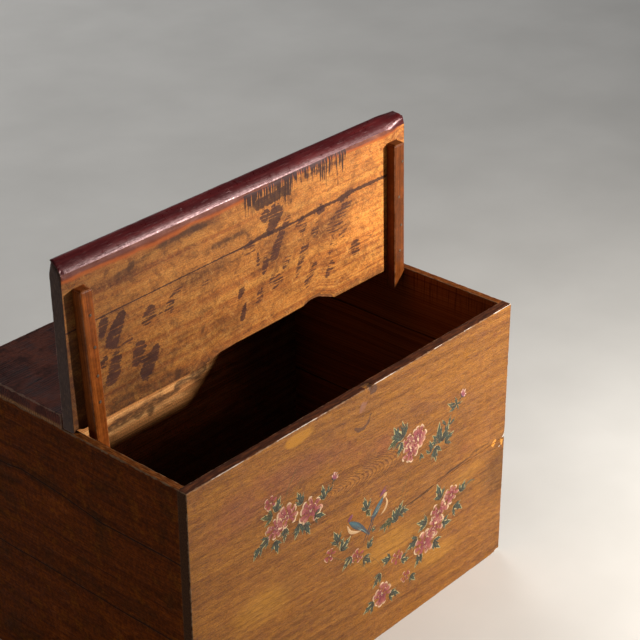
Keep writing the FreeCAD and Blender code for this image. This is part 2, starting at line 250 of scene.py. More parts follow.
class Mat:
    """small helper that writes a node tree"""

    def __init__(self, name):
        self.m = bpy.data.materials.new(name)
        self.m.use_nodes = True
        self.t = self.m.node_tree
        self.t.nodes.clear()
        self.out = self.t.nodes.new("ShaderNodeOutputMaterial")
        self.b = self.t.nodes.new("ShaderNodeBsdfPrincipled")
        self.t.links.new(self.b.outputs[0], self.out.inputs[0])
        self.x = 0

    def n(self, kind):
        nd = self.t.nodes.new("ShaderNode" + kind)
        self.x += 1
        nd.location = (-200 * (self.x % 30) - 300, -160 * (self.x // 30))
        return nd

    def put(self, sock, v):
        if isinstance(v, bpy.types.NodeSocket):
            self.t.links.new(v, sock)
        elif v is not None:
            sock.default_value = v

    def attr(self, name, kind="Fac"):
        nd = self.n("Attribute")
        nd.attribute_name = name
        return nd.outputs[kind]

    def obj(self):
        return self.n("TexCoord").outputs["Object"]

    def sep(self, v):
        nd = self.n("SeparateXYZ")
        self.put(nd.inputs[0], v)
        return nd.outputs[0], nd.outputs[1], nd.outputs[2]

    def comb(self, x=0.0, y=0.0, z=0.0):
        nd = self.n("CombineXYZ")
        self.put(nd.inputs[0], x); self.put(nd.inputs[1], y); self.put(nd.inputs[2], z)
        return nd.outputs[0]

    def math(self, op, a, b=None, c=None, clamp=False):
        nd = self.n("Math")
        nd.operation = op
        nd.use_clamp = clamp
        self.put(nd.inputs[0], a)
        if b is not None:
            self.put(nd.inputs[1], b)
        if c is not None:
            self.put(nd.inputs[2], c)
        return nd.outputs[0]

    def add(self, a, b): return self.math("ADD", a, b)
    def sub(self, a, b): return self.math("SUBTRACT", a, b)
    def mul(self, a, b): return self.math("MULTIPLY", a, b)
    def mad(self, a, b, c): return self.math("MULTIPLY_ADD", a, b, c)
    def max(self, a, b): return self.math("MAXIMUM", a, b)
    def min(self, a, b): return self.math("MINIMUM", a, b)
    def inv(self, a): return self.math("SUBTRACT", 1.0, a, clamp=True)

    def smooth(self, v, lo, hi, a=0.0, b=1.0):
        nd = self.n("MapRange")
        nd.interpolation_type = "SMOOTHSTEP"
        self.put(nd.inputs["Value"], v)
        self.put(nd.inputs["From Min"], lo)
        self.put(nd.inputs["From Max"], hi)
        self.put(nd.inputs["To Min"], a)
        self.put(nd.inputs["To Max"], b)
        return nd.outputs[0]

    def line(self, v, lo, hi, a=0.0, b=1.0):
        nd = self.n("MapRange")
        self.put(nd.inputs["Value"], v)
        self.put(nd.inputs["From Min"], lo)
        self.put(nd.inputs["From Max"], hi)
        self.put(nd.inputs["To Min"], a)
        self.put(nd.inputs["To Max"], b)
        return nd.outputs[0]

    def noise(self, v, scale=1.0, detail=3.0, rough=0.5, dist=0.0):
        nd = self.n("TexNoise")
        self.put(nd.inputs["Vector"], v)
        nd.inputs["Scale"].default_value = scale
        nd.inputs["Detail"].default_value = detail
        nd.inputs["Roughness"].default_value = rough
        nd.inputs["Distortion"].default_value = dist
        return nd.outputs[0]

    def ramp(self, fac, stops, mode="LINEAR"):
        nd = self.n("ValToRGB")
        nd.color_ramp.interpolation = mode
        el = nd.color_ramp.elements
        while len(el) > 1:
            el.remove(el[-1])
        el[0].position, el[0].color = stops[0]
        for pos, col in stops[1:]:
            e = el.new(pos)
            e.color = col
        self.put(nd.inputs[0], fac)
        return nd.outputs[0]

    def mix(self, fac, a, b, blend="MIX"):
        nd = self.n("Mix")
        nd.data_type = "RGBA"
        nd.blend_type = blend
        nd.clamp_factor = True
        self.put(nd.inputs[0], fac)
        self.put(nd.inputs[6], a)
        self.put(nd.inputs[7], b)
        return nd.outputs[2]

    def scale_col(self, col, fac):
        """multiply a colour by a number"""
        nd = self.n("VectorMath")
        nd.operation = "SCALE"
        self.put(nd.inputs[0], col)
        self.put(nd.inputs["Scale"], fac)
        return nd.outputs[0]

    def bump(self, h, dist, strength=1.0, normal=None):
        nd = self.n("Bump")
        nd.inputs["Strength"].default_value = strength
        nd.inputs["Distance"].default_value = dist
        self.put(nd.inputs["Height"], h)
        if normal is not None:
            self.put(nd.inputs["Normal"], normal)
        return nd.outputs[0]


def wood(M, gc, stops, seed=0.0, ring=0.0042, a0=0.4, b0=0.14, depth=0.02, slope=0.05,
         wob=0.014, ring_w=0.5, fibre_w=0.35, pore=0.35, fine=420.0, spot=None, run=3.2, tilt=0.0):
    """grain of a sawn board from its own rings; returns colour, value, height"""
    x, y, z = M.sep(gc)
    w1 = M.sub(M.noise(M.comb(M.mad(x, 1.7, seed), M.mul(y, 6.0), M.mul(z, 6.0)), 1.0, 2.0), 0.5)
    w2 = M.sub(M.noise(M.comb(M.mad(x, 8.0, seed + 3.1), M.mul(y, 34.0), M.mul(z, 20.0)), 1.0, 3.0), 0.5)
    yy = M.mad(w1, wob, M.mad(w2, 0.0035, y))
    if tilt:
        yy = M.sub(yy, M.mul(M.sub(x, a0), tilt))
    dw = M.add(M.mad(M.sub(x, a0), slope, depth), z)
    r = M.math("SQRT", M.add(M.math("POWER", M.sub(yy, b0), 2.0), M.math("POWER", dw, 2.0)))
    uneven = M.noise(M.comb(M.mul(r, 55.0), seed, M.mul(x, 0.7)), 1.0, 2.0)
    t = M.add(M.mul(r, 1.0 / ring), M.mul(uneven, 1.8))
    saw = M.math("FRACT", t)
    late = M.mul(M.smooth(saw, 0.35, 0.86), M.smooth(saw, 1.0, 0.88))
    fib = M.noise(M.comb(M.mad(x, run, seed), M.mul(yy, fine), M.mul(z, fine)), 1.0, 6.0, 0.62)
    fib2 = M.noise(M.comb(M.mad(x, 1.1, seed + 9.0), M.mul(yy, 85.0), M.mul(z, 85.0)), 1.0, 4.0, 0.55)
    if spot is not None:
        # rings show strongly near the heart of the figure only
        sa, sb, base = spot
        g = M.add(M.math("POWER", M.mul(M.sub(x, a0), 1.0 / sa), 2.0),
                  M.math("POWER", M.mul(M.sub(y, b0), 1.0 / sb), 2.0))
        late = M.mul(late, M.mad(M.smooth(g, 1.6, 0.2), 1.0 - base, base))
    v = M.add(M.mul(late, ring_w), M.mul(M.smooth(fib, 0.33, 0.70), fibre_w))
    v = M.add(v, M.mul(M.smooth(fib2, 0.3, 0.72), 1.0 - ring_w - fibre_w + 0.15))
    col = M.ramp(v, stops)
    pr = M.noise(M.comb(M.mad(x, 34.0, seed), M.mul(yy, 1100.0), M.mul(z, 1100.0)), 1.0, 2.0, 0.5)
    pr = M.smooth(pr, 0.60, 0.70)
    col = M.mix(M.mul(pr, pore), col, M.scale_col(col, 0.38))
    h = M.sub(M.mul(v, -0.6), M.mul(pr, 0.5))
    return col, v, h, late


MATS = {}


def finish_mat(M, name, col, rough, height, dist, spec=0.4, coat=0.0, coat_rough=0.3):
    M.put(M.b.inputs["Base Color"], col)
    M.put(M.b.inputs["Roughness"], rough)
    M.b.inputs["Specular IOR Level"].default_value = spec
    M.b.inputs["Coat Weight"].default_value = coat
    M.b.inputs["Coat Roughness"].default_value = coat_rough
    M.put(M.b.inputs["Normal"], M.bump(height, dist))
    MATS[name] = M.m
    return M.m


# ---- painted, lacquered front
FRONT_STOPS = tint([(0.06, srgb(186, 122, 54)), (0.32, srgb(162, 102, 45)), (0.56, srgb(140, 85, 38)),
                    (0.78, srgb(108, 62, 30)), (1.00, srgb(72, 42, 24))], 0.86, 0.86, 0.72)
FRONT_WOOD = dict(seed=2.3, ring=0.0021, a0=0.400, b0=0.126, tilt=-0.06, depth=0.0, slope=0.19, wob=0.018,
                  ring_w=0.40, fibre_w=0.42, pore=0.42, spot=(0.17, 0.045, 0.10), fine=560.0, run=52.0)


def mat_front():
    M = Mat("front_lacquered_wood")
    gc = M.attr("gc", "Vector")
    col, v, h, late = wood(M, gc, FRONT_STOPS, **FRONT_WOOD)
    ob = M.obj()
    big = M.noise(ob, 5.0, 3.0, 0.55)
    mid = M.noise(ob, 22.0, 4.0, 0.6)
    # mauve film and ochre rub
    mv = M.attr("mauve")
    mask = M.smooth(M.add(mv, M.mul(M.sub(mid, 0.5), 0.7)), 0.30, 0.75)
    col = M.mix(M.mul(mask, 0.55), col, M.mix(M.smooth(v, 0.2, 0.8), srgb(150, 86, 58), srgb(102, 56, 42)))
    # small rubbed flecks of thinner film everywhere
    fl = M.noise(M.comb(M.mul(M.sep(ob)[0], 48.0), 0.0, M.mul(M.sep(ob)[2], 90.0)), 1.0, 5.0, 0.68)
    col = M.mix(M.mul(M.smooth(fl, 0.54, 0.66), 0.50), col, srgb(166, 110, 34))
    col = M.mix(M.mul(M.smooth(fl, 0.46, 0.34), 0.50), col, srgb(112, 58, 38))
    # soft rubbed clouds: golden and mauve
    cl1 = M.noise(M.comb(M.mul(M.sep(ob)[0], 9.0), 3.0, M.mul(M.sep(ob)[2], 19.0)), 1.0, 5.0, 0.6, 0.6)
    col = M.mix(M.mul(M.smooth(cl1, 0.54, 0.68), 0.45), col, srgb(164, 104, 30))
    col = M.mix(M.mul(M.smooth(cl1, 0.44, 0.32), 0.36), col, srgb(118, 70, 46))
    # fine dark flecks drawn out along the grain
    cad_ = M.noise(M.comb(M.mul(M.sep(gc)[0], 96.0), M.mul(M.sep(gc)[1], 520.0), 4.0), 1.0, 4.0, 0.68)
    col = M.mix(M.mul(M.smooth(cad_, 0.54, 0.64), 0.62), col, M.scale_col(col, 0.40))
    col = M.mix(M.mul(M.smooth(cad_, 0.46, 0.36), 0.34), col, M.scale_col(col, 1.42))
    col = M.scale_col(col, M.line(M.noise(ob, 430.0, 2.0, 0.7), 0.35, 0.65, 0.78, 1.22))
    oc = M.attr("ochre")
    mask = M.smooth(M.add(oc, M.mul(M.sub(mid, 0.5), 0.8)), 0.35, 0.7)
    col = M.mix(M.mul(mask, 0.75), col, srgb(198, 134, 40))
    gd = M.attr("golden")
    mask = M.smooth(M.add(gd, M.mul(M.sub(big, 0.5), 1.2)), 0.25, 0.8)
    col = M.mix(M.mul(mask, 0.55), col, M.mix(M.smooth(v, 0.2, 0.8), srgb(190, 132, 46), srgb(120, 80, 30)))
    # dark streaks along the grain
    x, y, z = M.sep(gc)
    st = M.noise(M.comb(M.mul(x, 5.0), M.mul(y, 90.0), 3.0), 1.0, 6.0, 0.68)
    dk = M.attr("dark")
    mask = M.smooth(M.add(M.mul(st, 0.85), M.mul(dk, 0.5)), 0.56, 0.86)
    col = M.mix(M.mul(mask, 0.6), col, M.scale_col(col, 0.42))
    # small specks and pits
    sp = M.noise(ob, 240.0, 2.0, 0.5)
    col = M.mix(M.mul(M.smooth(sp, 0.66, 0.74), 0.55), col, srgb(66, 36, 24))
    # broad unevenness
    col = M.scale_col(col, M.line(big, 0.3, 0.7, 0.86, 1.12))
    # stain of an old fitting and other dark marks
    stn = M.attr("stain")
    mask = M.smooth(M.add(stn, M.mul(M.sub(mid, 0.5), 0.5)), 0.30, 0.72)
    col = M.mix(M.mul(mask, 0.80), col, srgb(88, 58, 46))
    pk = M.attr("pinkish")
    mask = M.smooth(M.add(pk, M.mul(M.sub(mid, 0.5), 0.7)), 0.35, 0.75)
    col = M.mix(M.mul(mask, 0.66), col, srgb(164, 116, 104))
    # inside face: plain wood in darker tones
    cf = M.attr("cf")
    ins, _, _, _ = wood(M, gc, [(0.1, srgb(134, 92, 56)), (0.5, srgb(90, 54, 30)), (0.95, srgb(50, 30, 18))],
                        seed=7.7, ring=0.0052, a0=0.3, b0=0.16, depth=0.02, slope=0.04)
    col = M.mix(M.smooth(cf, 0.52, 0.40), col, ins)
    # rim, ends, worn arrises and the painted highlight on the rim's front arris
    rim = M.attr("rim")
    rimc = M.ramp(M.noise(M.comb(M.mul(x, 30.0), M.mul(y, 30.0), M.mul(z, 200.0)), 1.0, 5.0, 0.6),
                  [(0.3, srgb(42, 18, 8)), (0.5, srgb(78, 38, 18)), (0.7, srgb(126, 70, 36))])
    col = M.mix(M.smooth(rim, 0.35, 0.65), col, rimc)
    endg = M.attr("endg")
    endc = M.ramp(M.noise(M.comb(M.mul(x, 300.0), M.mul(y, 260.0), M.mul(z, 600.0)), 1.0, 4.0, 0.65),
                  [(0.3, srgb(40, 22, 8)), (0.5, srgb(66, 37, 13)), (0.72, srgb(98, 58, 25))])
    col = M.mix(M.smooth(endg, 0.35, 0.65), col, endc)
    edge, worn = M.attr("edge"), M.attr("worn")
    wn = M.noise(ob, 90.0, 5.0, 0.65)
    wr = M.mul(M.smooth(M.sub(edge, M.mul(M.sub(wn, 0.38), 9.0)), 0.9, -0.5), worn)
    col = M.mix(M.mul(wr, 0.55), col, srgb(176, 138, 104))
    # painted highlight on the rim's front arris, mixed with real pale chips and worn edges
    wh = M.attr("white")
    mask = M.smooth(M.add(wh, M.mul(M.sub(wn, 0.5), 1.3)), 0.45, 0.75)
    col = M.mix(mask, col, srgb(226, 210, 196))
    ch = M.attr("chip")
    mask = M.smooth(M.add(ch, M.mul(M.sub(wn, 0.5), 0.9)), 0.45, 0.7)
    col = M.mix(mask, col, srgb(222, 150, 62))
    # dirt in the joint and the crack
    cr = M.attr("crack")
    mask = M.smooth(M.add(cr, M.mul(M.sub(M.add(M.mul(st, 0.5), M.mul(wn, 0.5)), 0.5), 1.5)), 0.34, 0.80)
    col = M.mix(M.mul(mask, 0.74), col, srgb(52, 27, 16))
    ro = M.line(mid, 0.3, 0.7, 0.34, 0.52)
    ro = M.max(ro, M.mul(M.smooth(M.add(rim, endg), 0.3, 0.7), 0.86))
    finish_mat(M, "front", col, ro, M.add(h, M.mul(mid, 0.5)), 0.0006, spec=0.20)
    return M.m


# ---- dark lacquered end boards (outside) with brown wood inside
def mat_end():
    M = Mat("end_lacquered_wood")
    gc = M.attr("gc", "Vector")
    ob = M.obj()
    col, v, h, late = wood(M, gc, tint([
        (0.1, srgb(112, 63, 38)), (0.4, srgb(103, 56, 34)), (0.7, srgb(93, 50, 30)), (0.95, srgb(76, 40, 25))], 0.92, 0.62, 0.08),
        seed=5.1, ring=0.0062, a0=0.2, b0=0.08, depth=0.015, slope=0.03, wob=0.016, ring_w=0.16, fibre_w=0.24, pore=0.16, fine=260.0, run=8.0)
    big = M.noise(ob, 6.0, 4.0, 0.6)
    mid = M.noise(ob, 30.0, 4.0, 0.6)
    b1 = M.noise(M.comb(0.0, M.mul(M.sep(ob)[1], 8.0), M.mul(M.sep(ob)[2], 13.0)), 1.0, 6.0, 0.66, 0.3)
    col = M.mix(M.mul(M.smooth(b1, 0.50, 0.66), 0.55), col, srgb(58, 34, 9))
    col = M.mix(M.mul(M.smooth(b1, 0.46, 0.32), 0.50), col, srgb(136, 66, 16))
    col = M.mix(M.mul(M.smooth(mid, 0.53, 0.68), 0.46), col, srgb(120, 66, 16))
    col = M.scale_col(col, M.line(M.noise(ob, 130.0, 5.0, 0.78), 0.38, 0.62, 0.60, 1.38))
    fine_l = M.noise(M.comb(M.mul(M.sep(ob)[1], 26.0), M.mul(M.sep(ob)[2], 420.0), 2.0), 1.0, 3.0, 0.6)
    col = M.scale_col(col, M.line(fine_l, 0.38, 0.62, 0.80, 1.18))
    cf = M.attr("cf")
    ins, iv, ih, _ = wood(M, gc, [(0.1, srgb(146, 88, 46)), (0.5, srgb(126, 72, 36)), (1.0, srgb(92, 48, 24))],
                          seed=9.4, ring=0.0055, a0=0.3, b0=0.06, depth=0.02, slope=0.04, ring_w=0.22, fibre_w=0.4)
    # vertical combed streaks under the rim
    x, y, z = M.sep(ob)
    cs = M.noise(M.comb(M.mul(y, 260.0), M.mul(z, 7.0), 1.0), 1.0, 3.0, 0.6)
    near = M.smooth(z, 0.49, 0.55)
    # painted light and shade: the inner face of the right end, seen in shade, is lightened and that of the left end
    # darkened
    ins = M.scale_col(ins, M.line(M.attr("lift"), 0.0, 1.0, 0.45, 1.55))
    ins = M.mix(M.mul(M.mul(M.smooth(cs, 0.50, 0.66), near), 0.7), ins, srgb(44, 24, 14))
    col = M.mix(M.smooth(cf, 0.52, 0.40), col, ins)
    rim = M.attr("rim")
    rimc = M.ramp(M.noise(M.comb(M.mul(y, 60.0), M.mul(x, 500.0), M.mul(z, 30.0)), 1.0, 5.0, 0.6),
                  [(0.3, srgb(62, 30, 12)), (0.5, srgb(118, 64, 28)), (0.7, srgb(176, 108, 54))])
    col = M.mix(M.smooth(rim, 0.35, 0.65), col, rimc)
    edge, worn = M.attr("edge"), M.attr("worn")
    wn = M.noise(ob, 90.0, 5.0, 0.65)
    wr = M.mul(M.smooth(M.sub(edge, M.mul(M.sub(wn, 0.36), 10.0)), 1.2, -0.6), worn)
    col = M.mix(M.mul(wr, 0.6), col, srgb(140, 118, 92))
    stn = M.attr("stain")
    mask = M.smooth(M.add(stn, M.mul(M.sub(mid, 0.5), 0.5)), 0.30, 0.72)
    col = M.mix(M.mul(mask, 0.8), col, srgb(34, 20, 16))
    wh = M.attr("white")
    mask = M.smooth(M.add(wh, M.mul(M.sub(wn, 0.5), 0.8)), 0.42, 0.75)
    col = M.mix(M.mul(mask, 0.8), col, srgb(176, 150, 120))
    ro = M.line(mid, 0.3, 0.7, 0.38, 0.6)
    return finish_mat(M, "end", col, ro, M.add(h, M.mul(mid, 0.5)), 0.0006, spec=0.03)


# ---- back boards: thin dark finish outside, raw tan wood inside
def mat_back():
    M = Mat("back_lacquered_wood")
    gc = M.attr("gc", "Vector")
    ob = M.obj()
    col, v, h, late = wood(M, gc, [
        (0.1, srgb(118, 76, 50)), (0.4, srgb(92, 56, 38)), (0.7, srgb(66, 40, 30)), (0.95, srgb(40, 26, 22))],
        seed=12.1, ring=0.0056, a0=0.5, b0=0.12, depth=0.012, slope=0.03, wob=0.02)
    mid = M.noise(ob, 26.0, 4.0, 0.6)
    col = M.mix(M.mul(M.smooth(mid, 0.5, 0.72), 0.4), col, srgb(124, 94, 70))
    cf = M.attr("cf")
    ins, iv, ih, _ = wood(M, gc, [(0.1, srgb(252, 188, 118)), (0.5, srgb(232, 158, 92)), (1.0, srgb(172, 106, 54))],
                          seed=14.6, ring=0.0060, a0=0.3, b0=0.1, depth=0.03, slope=0.04, pore=0.14, ring_w=0.20, fibre_w=0.36)
    c2 = M.noise(M.comb(M.mul(M.sep(ob)[0], 12.0), 0.0, M.mul(M.sep(ob)[2], 40.0)), 1.0, 5.0, 0.6, 0.5)
    ins = M.mix(M.mul(M.smooth(c2, 0.50, 0.68), 0.6), ins, srgb(146, 88, 44))
    sp2 = M.noise(ob, 300.0, 3.0, 0.6)
    ins = M.scale_col(ins, M.line(sp2, 0.34, 0.66, 0.78, 1.26))
    # painted shade: darker where the inner face lies in shadow
    ins = M.scale_col(ins, M.line(M.attr("aged"), 0.0, 1.0, 1.0, 0.34))
    gs = M.attr("grey")
    gn = M.noise(M.comb(M.mul(M.sep(ob)[0], 17.0), 0.0, M.mul(M.sep(ob)[2], 95.0)), 1.0, 6.0, 0.68)
    mask = M.smooth(M.add(gs, M.mul(M.sub(M.add(M.mul(gn, 0.75), M.mul(mid, 0.25)), 0.5), 2.2)), 0.34, 0.95)
    mask = M.mul(mask, M.line(M.noise(M.comb(M.mul(M.sep(ob)[0], 70.0), 0.0, M.mul(M.sep(ob)[2], 230.0)), 1.0, 4.0, 0.65), 0.36, 0.54, 0.52, 1.0))
    ins = M.mix(M.mul(mask, 0.84), ins, srgb(72, 48, 32))
    col = M.mix(M.smooth(cf, 0.52, 0.40), col, ins)
    edge, worn = M.attr("edge"), M.attr("worn")
    wn = M.noise(ob, 90.0, 5.0, 0.65)
    wr = M.mul(M.smooth(M.sub(edge, M.mul(M.sub(wn, 0.38), 9.0)), 1.0, -0.6), worn)
    col = M.mix(M.mul(wr, 0.55), col, srgb(140, 112, 86))
    ro = M.line(mid, 0.3, 0.7, 0.5, 0.72)
    return finish_mat(M, "back", col, ro, h, 0.0006, spec=0.3)


# ---- dark worn lacquer of the fixed rear top
def mat_top():
    M = Mat("top_lacquered_wood")
    gc = M.attr("gc", "Vector")
    ob = M.obj()
    col, v, h, late = wood(M, gc, [
        (0.1, srgb(104, 46, 32)), (0.45, srgb(70, 28, 20)), (0.95, srgb(34, 14, 12))],
        seed=21.0, ring=0.0052, a0=0.5, b0=0.13, depth=0.012, slope=0.05, wob=0.02)
    mid = M.noise(ob, 24.0, 5.0, 0.62)
    big = M.noise(ob, 7.0, 4.0, 0.6)
    # lacquer rubbed thin: greyer, lighter; and pooled dark red-black
    col = M.mix(M.mul(M.smooth(M.add(M.mul(big, 0.6), M.mul(mid, 0.5)), 0.52, 0.66), 0.70), col, srgb(122, 58, 36))
    col = M.mix(M.mul(M.smooth(mid, 0.52, 0.66), 0.66), col, srgb(35, 16, 19))
    col = M.scale_col(col, M.line(M.noise(ob, 190.0, 4.0, 0.65), 0.34, 0.66, 0.76, 1.26))
    cf = M.attr("cf")
    under, _, _, _ = wood(M, gc, [(0.1, srgb(170, 120, 72)), (0.5, srgb(136, 88, 48)), (0.95, srgb(84, 50, 28))],
                          seed=23.0, ring=0.0055, a0=0.3, b0=0.12, depth=0.02, slope=0.04)
    col = M.mix(M.smooth(cf, 0.35, 0.15), col, under)
    edge, worn = M.attr("edge"), M.attr("worn")
    wn = M.noise(ob, 80.0, 5.0, 0.65)
    wr = M.mul(M.smooth(M.sub(edge, M.mul(M.sub(wn, 0.34), 11.0)), 1.4, -0.8), worn)
    col = M.mix(M.mul(wr, 0.65), col, srgb(150, 116, 96))
    ro = M.line(mid, 0.3, 0.7, 0.42, 0.66)
    return finish_mat(M, "top", col, ro, M.add(h, M.mul(mid, 0.6)), 0.0005, spec=0.12)


# ---- lid: raw underside, maroon lacquered nose and top
def mat_lid():
    M = Mat("lid_wood")
    gc = M.attr("gc", "Vector")
    ob = M.obj()
    x, y, z = M.sep(gc)
    raw, v, h, late = wood(M, gc, tint([
        (0.10, srgb(226, 162, 84)), (0.40, srgb(212, 144, 70)), (0.70, srgb(190, 120, 56)),
        (1.00, srgb(146, 84, 36))], 1.12, 0.955, 0.69),
        seed=31.0, ring=0.0060, a0=0.72, b0=0.05, depth=0.004, slope=0.10, wob=0.020,
        ring_w=0.20, fibre_w=0.30, pore=0.10, fine=330.0, spot=(0.16, 0.05, 0.12))
    cn = M.attr("clean")
    big = M.noise(ob, 6.0, 4.0, 0.6)
    mid = M.noise(ob, 26.0, 5.0, 0.62)
    tiny = M.noise(ob, 130.0, 4.0, 0.6)
    # cross-grain scuffs
    scuff = M.noise(M.comb(M.mul(x, 420.0), M.mul(y, 26.0), 2.0), 1.0, 3.0, 0.6)
    raw = M.mix(M.mul(M.smooth(scuff, 0.52, 0.72), 0.22), raw, M.scale_col(raw, 0.62))
    # mottling: darker, browner clouds
    mt = M.attr("mott")
    cloud = M.noise(M.comb(M.mul(M.sep(ob)[0], 11.0), 0.0, M.mul(M.sep(ob)[2], 30.0)), 1.0, 6.0, 0.62, 0.4)
    cl = M.smooth(M.add(M.mul(M.add(M.mul(cloud, 0.7), M.mul(tiny, 0.3)), 1.0), M.mul(mt, 0.42)), 0.44, 0.84)
    raw = M.mix(M.mul(cl, 0.76), raw, srgb(112, 62, 26))
    cloud2 = M.noise(ob, 34.0, 6.0, 0.70, 0.8)
    raw = M.mix(M.mul(M.smooth(cloud2, 0.50, 0.66), 0.52), raw, srgb(118, 68, 28))
    raw = M.mix(M.mul(M.smooth(cloud2, 0.47, 0.35), 0.44), raw, srgb(240, 168, 80))
    cloud3 = M.noise(M.comb(M.mul(M.sep(ob)[0], 46.0), 0.0, M.mul(M.sep(ob)[2], 85.0)), 1.0, 5.0, 0.66, 0.5)
    dirt = M.smooth(M.add(cloud3, M.mul(mt, 0.10)), 0.53, 0.68)
    raw = M.mix(M.mul(dirt, 0.52), raw, srgb(96, 56, 26))
    raw = M.mix(M.mul(M.smooth(cloud3, 0.45, 0.33), 0.34), raw, srgb(238, 172, 92))
    fuzz = M.add(M.mul(M.noise(ob, 360.0, 3.0, 0.65), 0.5), M.mul(M.noise(M.comb(M.mul(x, 90.0), M.mul(y, 620.0), 3.0), 1.0, 3.0, 0.6), 0.5))
    raw = M.scale_col(raw, M.line(fuzz, 0.40, 0.60, 0.64, 1.30))
    # fine diagonal hairlines of old rubbing
    hx, hy, hz = M.sep(ob)
    ha = M.noise(M.comb(M.mad(hx, 300.0, M.mul(hz, 190.0)), 0.0, M.mad(hx, -14.0, M.mul(hz, 22.0))), 1.0, 3.0, 0.6)
    hb = M.noise(M.comb(M.mad(hx, -330.0, M.mul(hz, 140.0)), 5.0, M.mad(hx, 10.0, M.mul(hz, 24.0))), 1.0, 3.0, 0.6)
    hl = M.add(M.smooth(ha, 0.56, 0.70), M.smooth(hb, 0.58, 0.72))
    raw = M.mix(M.mul(hl, 0.34), raw, srgb(98, 56, 24))
    hl2 = M.add(M.smooth(ha, 0.43, 0.32), M.smooth(hb, 0.42, 0.30))
    raw = M.mix(M.mul(hl2, 0.24), raw, srgb(246, 186, 112))
    raw = M.scale_col(raw, M.line(big, 0.3, 0.7, 0.86, 1.08))
    old = M.line(M.sep(ob)[0], -0.43, 0.36, 0.505, 1.06)
    raw = M.scale_col(raw, M.mul(M.mad(cn, 0.34, 0.92), old))
    # sooty bands with cross-grain streaks, and painted shade in the crease at the rear edge
    so = M.attr("soot")
    sk = M.noise(M.comb(M.mul(hx, 150.0), 0.0, M.mul(hz, 34.0)), 1.0, 4.0, 0.6)
    sfuz = M.noise(M.comb(M.mul(hx, 60.0), 0.0, M.mul(hz, 130.0)), 1.0, 5.0, 0.65)
    mask = M.smooth(M.add(so, M.mul(M.sub(M.add(M.mul(sk, 0.4), M.mul(sfuz, 0.6)), 0.5), 2.6)), 0.24, 1.10)
    raw = M.mix(M.mul(mask, 0.80), raw, srgb(62, 38, 16))
    # lacquer that ran onto the underside near the front arris
    bl = M.attr("bleed")
    fine_st = M.noise(M.comb(M.mul(x, 9.0), M.mul(y, 120.0), 5.0), 1.0, 4.0, 0.6)
    bn = M.add(bl, M.mul(M.sub(M.add(M.mul(fine_st, 0.5), M.mul(mid, 0.5)), 0.5), 0.9))
    mask = M.smooth(bn, 0.10, 0.60)
    raw = M.mix(M.mul(mask, 0.86), raw, M.mix(M.smooth(bn, 0.55, 1.0), srgb(178, 84, 18), srgb(92, 28, 12)))
    # combed dark runs across the grain
    cb = M.attr("comb")
    hair = M.noise(M.comb(M.mul(x, 330.0), M.mul(y, 11.0), 8.0), 1.0, 3.0, 0.55)
    hair2 = M.noise(M.comb(M.mul(x, 120.0), M.mul(y, 14.0), 4.0), 1.0, 2.0, 0.5)
    # every run has its own length: cd is the depth below the top line, 0 to 1
    cd = M.attr("combd")
    run = M.smooth(M.add(M.mul(hair, 0.60), M.mul(hair2, 0.40)), 0.40, 0.62)
    mask = M.mul(M.smooth(M.sub(M.mad(run, 1.15, -0.10), cd), -0.05, 0.06), M.smooth(cb, 0.10, 0.45))
    body = M.smooth(M.add(M.attr("combb"), M.mul(M.sub(M.add(M.mul(hair, 0.6), M.mul(tiny, 0.4)), 0.5), 2.0)), 0.40, 0.80)
    mask = M.max(mask, M.mul(body, 0.9))
    raw = M.mix(M.mul(mask, 0.95), raw, srgb(34, 18, 14))
    # finger smears
    sm = M.attr("smear")
    hatch = M.noise(M.comb(M.mul(M.attr("hx"), 0.50), M.mul(M.attr("hy"), 0.06), 1.0), 1.0, 2.0, 0.5)
    lines = M.noise(M.comb(M.mul(x, 22.0), M.mul(y, 230.0), 6.0), 1.0, 3.0, 0.62)
    patchy = M.noise(ob, 85.0, 3.0, 0.6)
    sv = M.add(M.mul(sm, 1.06), M.add(M.mul(M.sub(hatch, 0.5), 0.9), M.mul(M.sub(patchy, 0.5), 1.2)))
    sv = M.add(sv, M.mul(M.sub(lines, 0.5), 4.4))
    mask = M.mul(M.smooth(sv, 0.26, 0.80), M.smooth(sm, 0.02, 0.30))
    raw = M.mix(M.mul(mask, 0.86), raw, M.mix(M.smooth(mid, 0.35, 0.65), srgb(44, 22, 20), srgb(70, 38, 28)))
    # dark joint stain
    ss = M.attr("stain")
    rg = M.noise(M.comb(M.mul(x, 150.0), M.mul(y, 110.0), 3.0), 1.0, 4.0, 0.65)
    mask = M.smooth(M.add(ss, M.mul(M.sub(M.add(M.mul(rg, 0.6), M.mul(fine_st, 0.4)), 0.5), 1.9)), 0.34, 0.62)
    raw = M.mix(M.mul(mask, 0.88), raw, srgb(46, 25, 20))
    # lacquer: nose (maroon), top and ends (dark)
    lac_v = M.noise(M.comb(M.mul(x, 6.0), M.mul(y, 160.0), M.mul(z, 160.0)), 1.0, 5.0, 0.6)
    maroon = M.ramp(M.add(M.mul(lac_v, 0.7), M.mul(mid, 0.3)),
                    [(0.30, srgb(56, 14, 18)), (0.5, srgb(80, 22, 25)), (0.7, srgb(108, 36, 36))])
    dark, _, _, _ = wood(M, gc, [(0.1, srgb(104, 56, 46)), (0.45, srgb(72, 34, 32)), (0.95, srgb(36, 20, 22))],
                         seed=36.0, ring=0.0055, a0=0.5, b0=0.1, depth=0.012, slope=0.05)
    dark = M.mix(M.mul(M.smooth(mid, 0.5, 0.72), 0.5), dark, srgb(112, 78, 68))
    nose = M.attr("nose")
    lac = M.mix(M.smooth(nose, 0.3, 0.7), dark, maroon)
    lm = M.attr("lacq")
    lmask = M.smooth(M.add(lm, M.mul(M.sub(tiny, 0.5), 0.35)), 0.42, 0.58)
    col = M.mix(lmask, raw, lac)
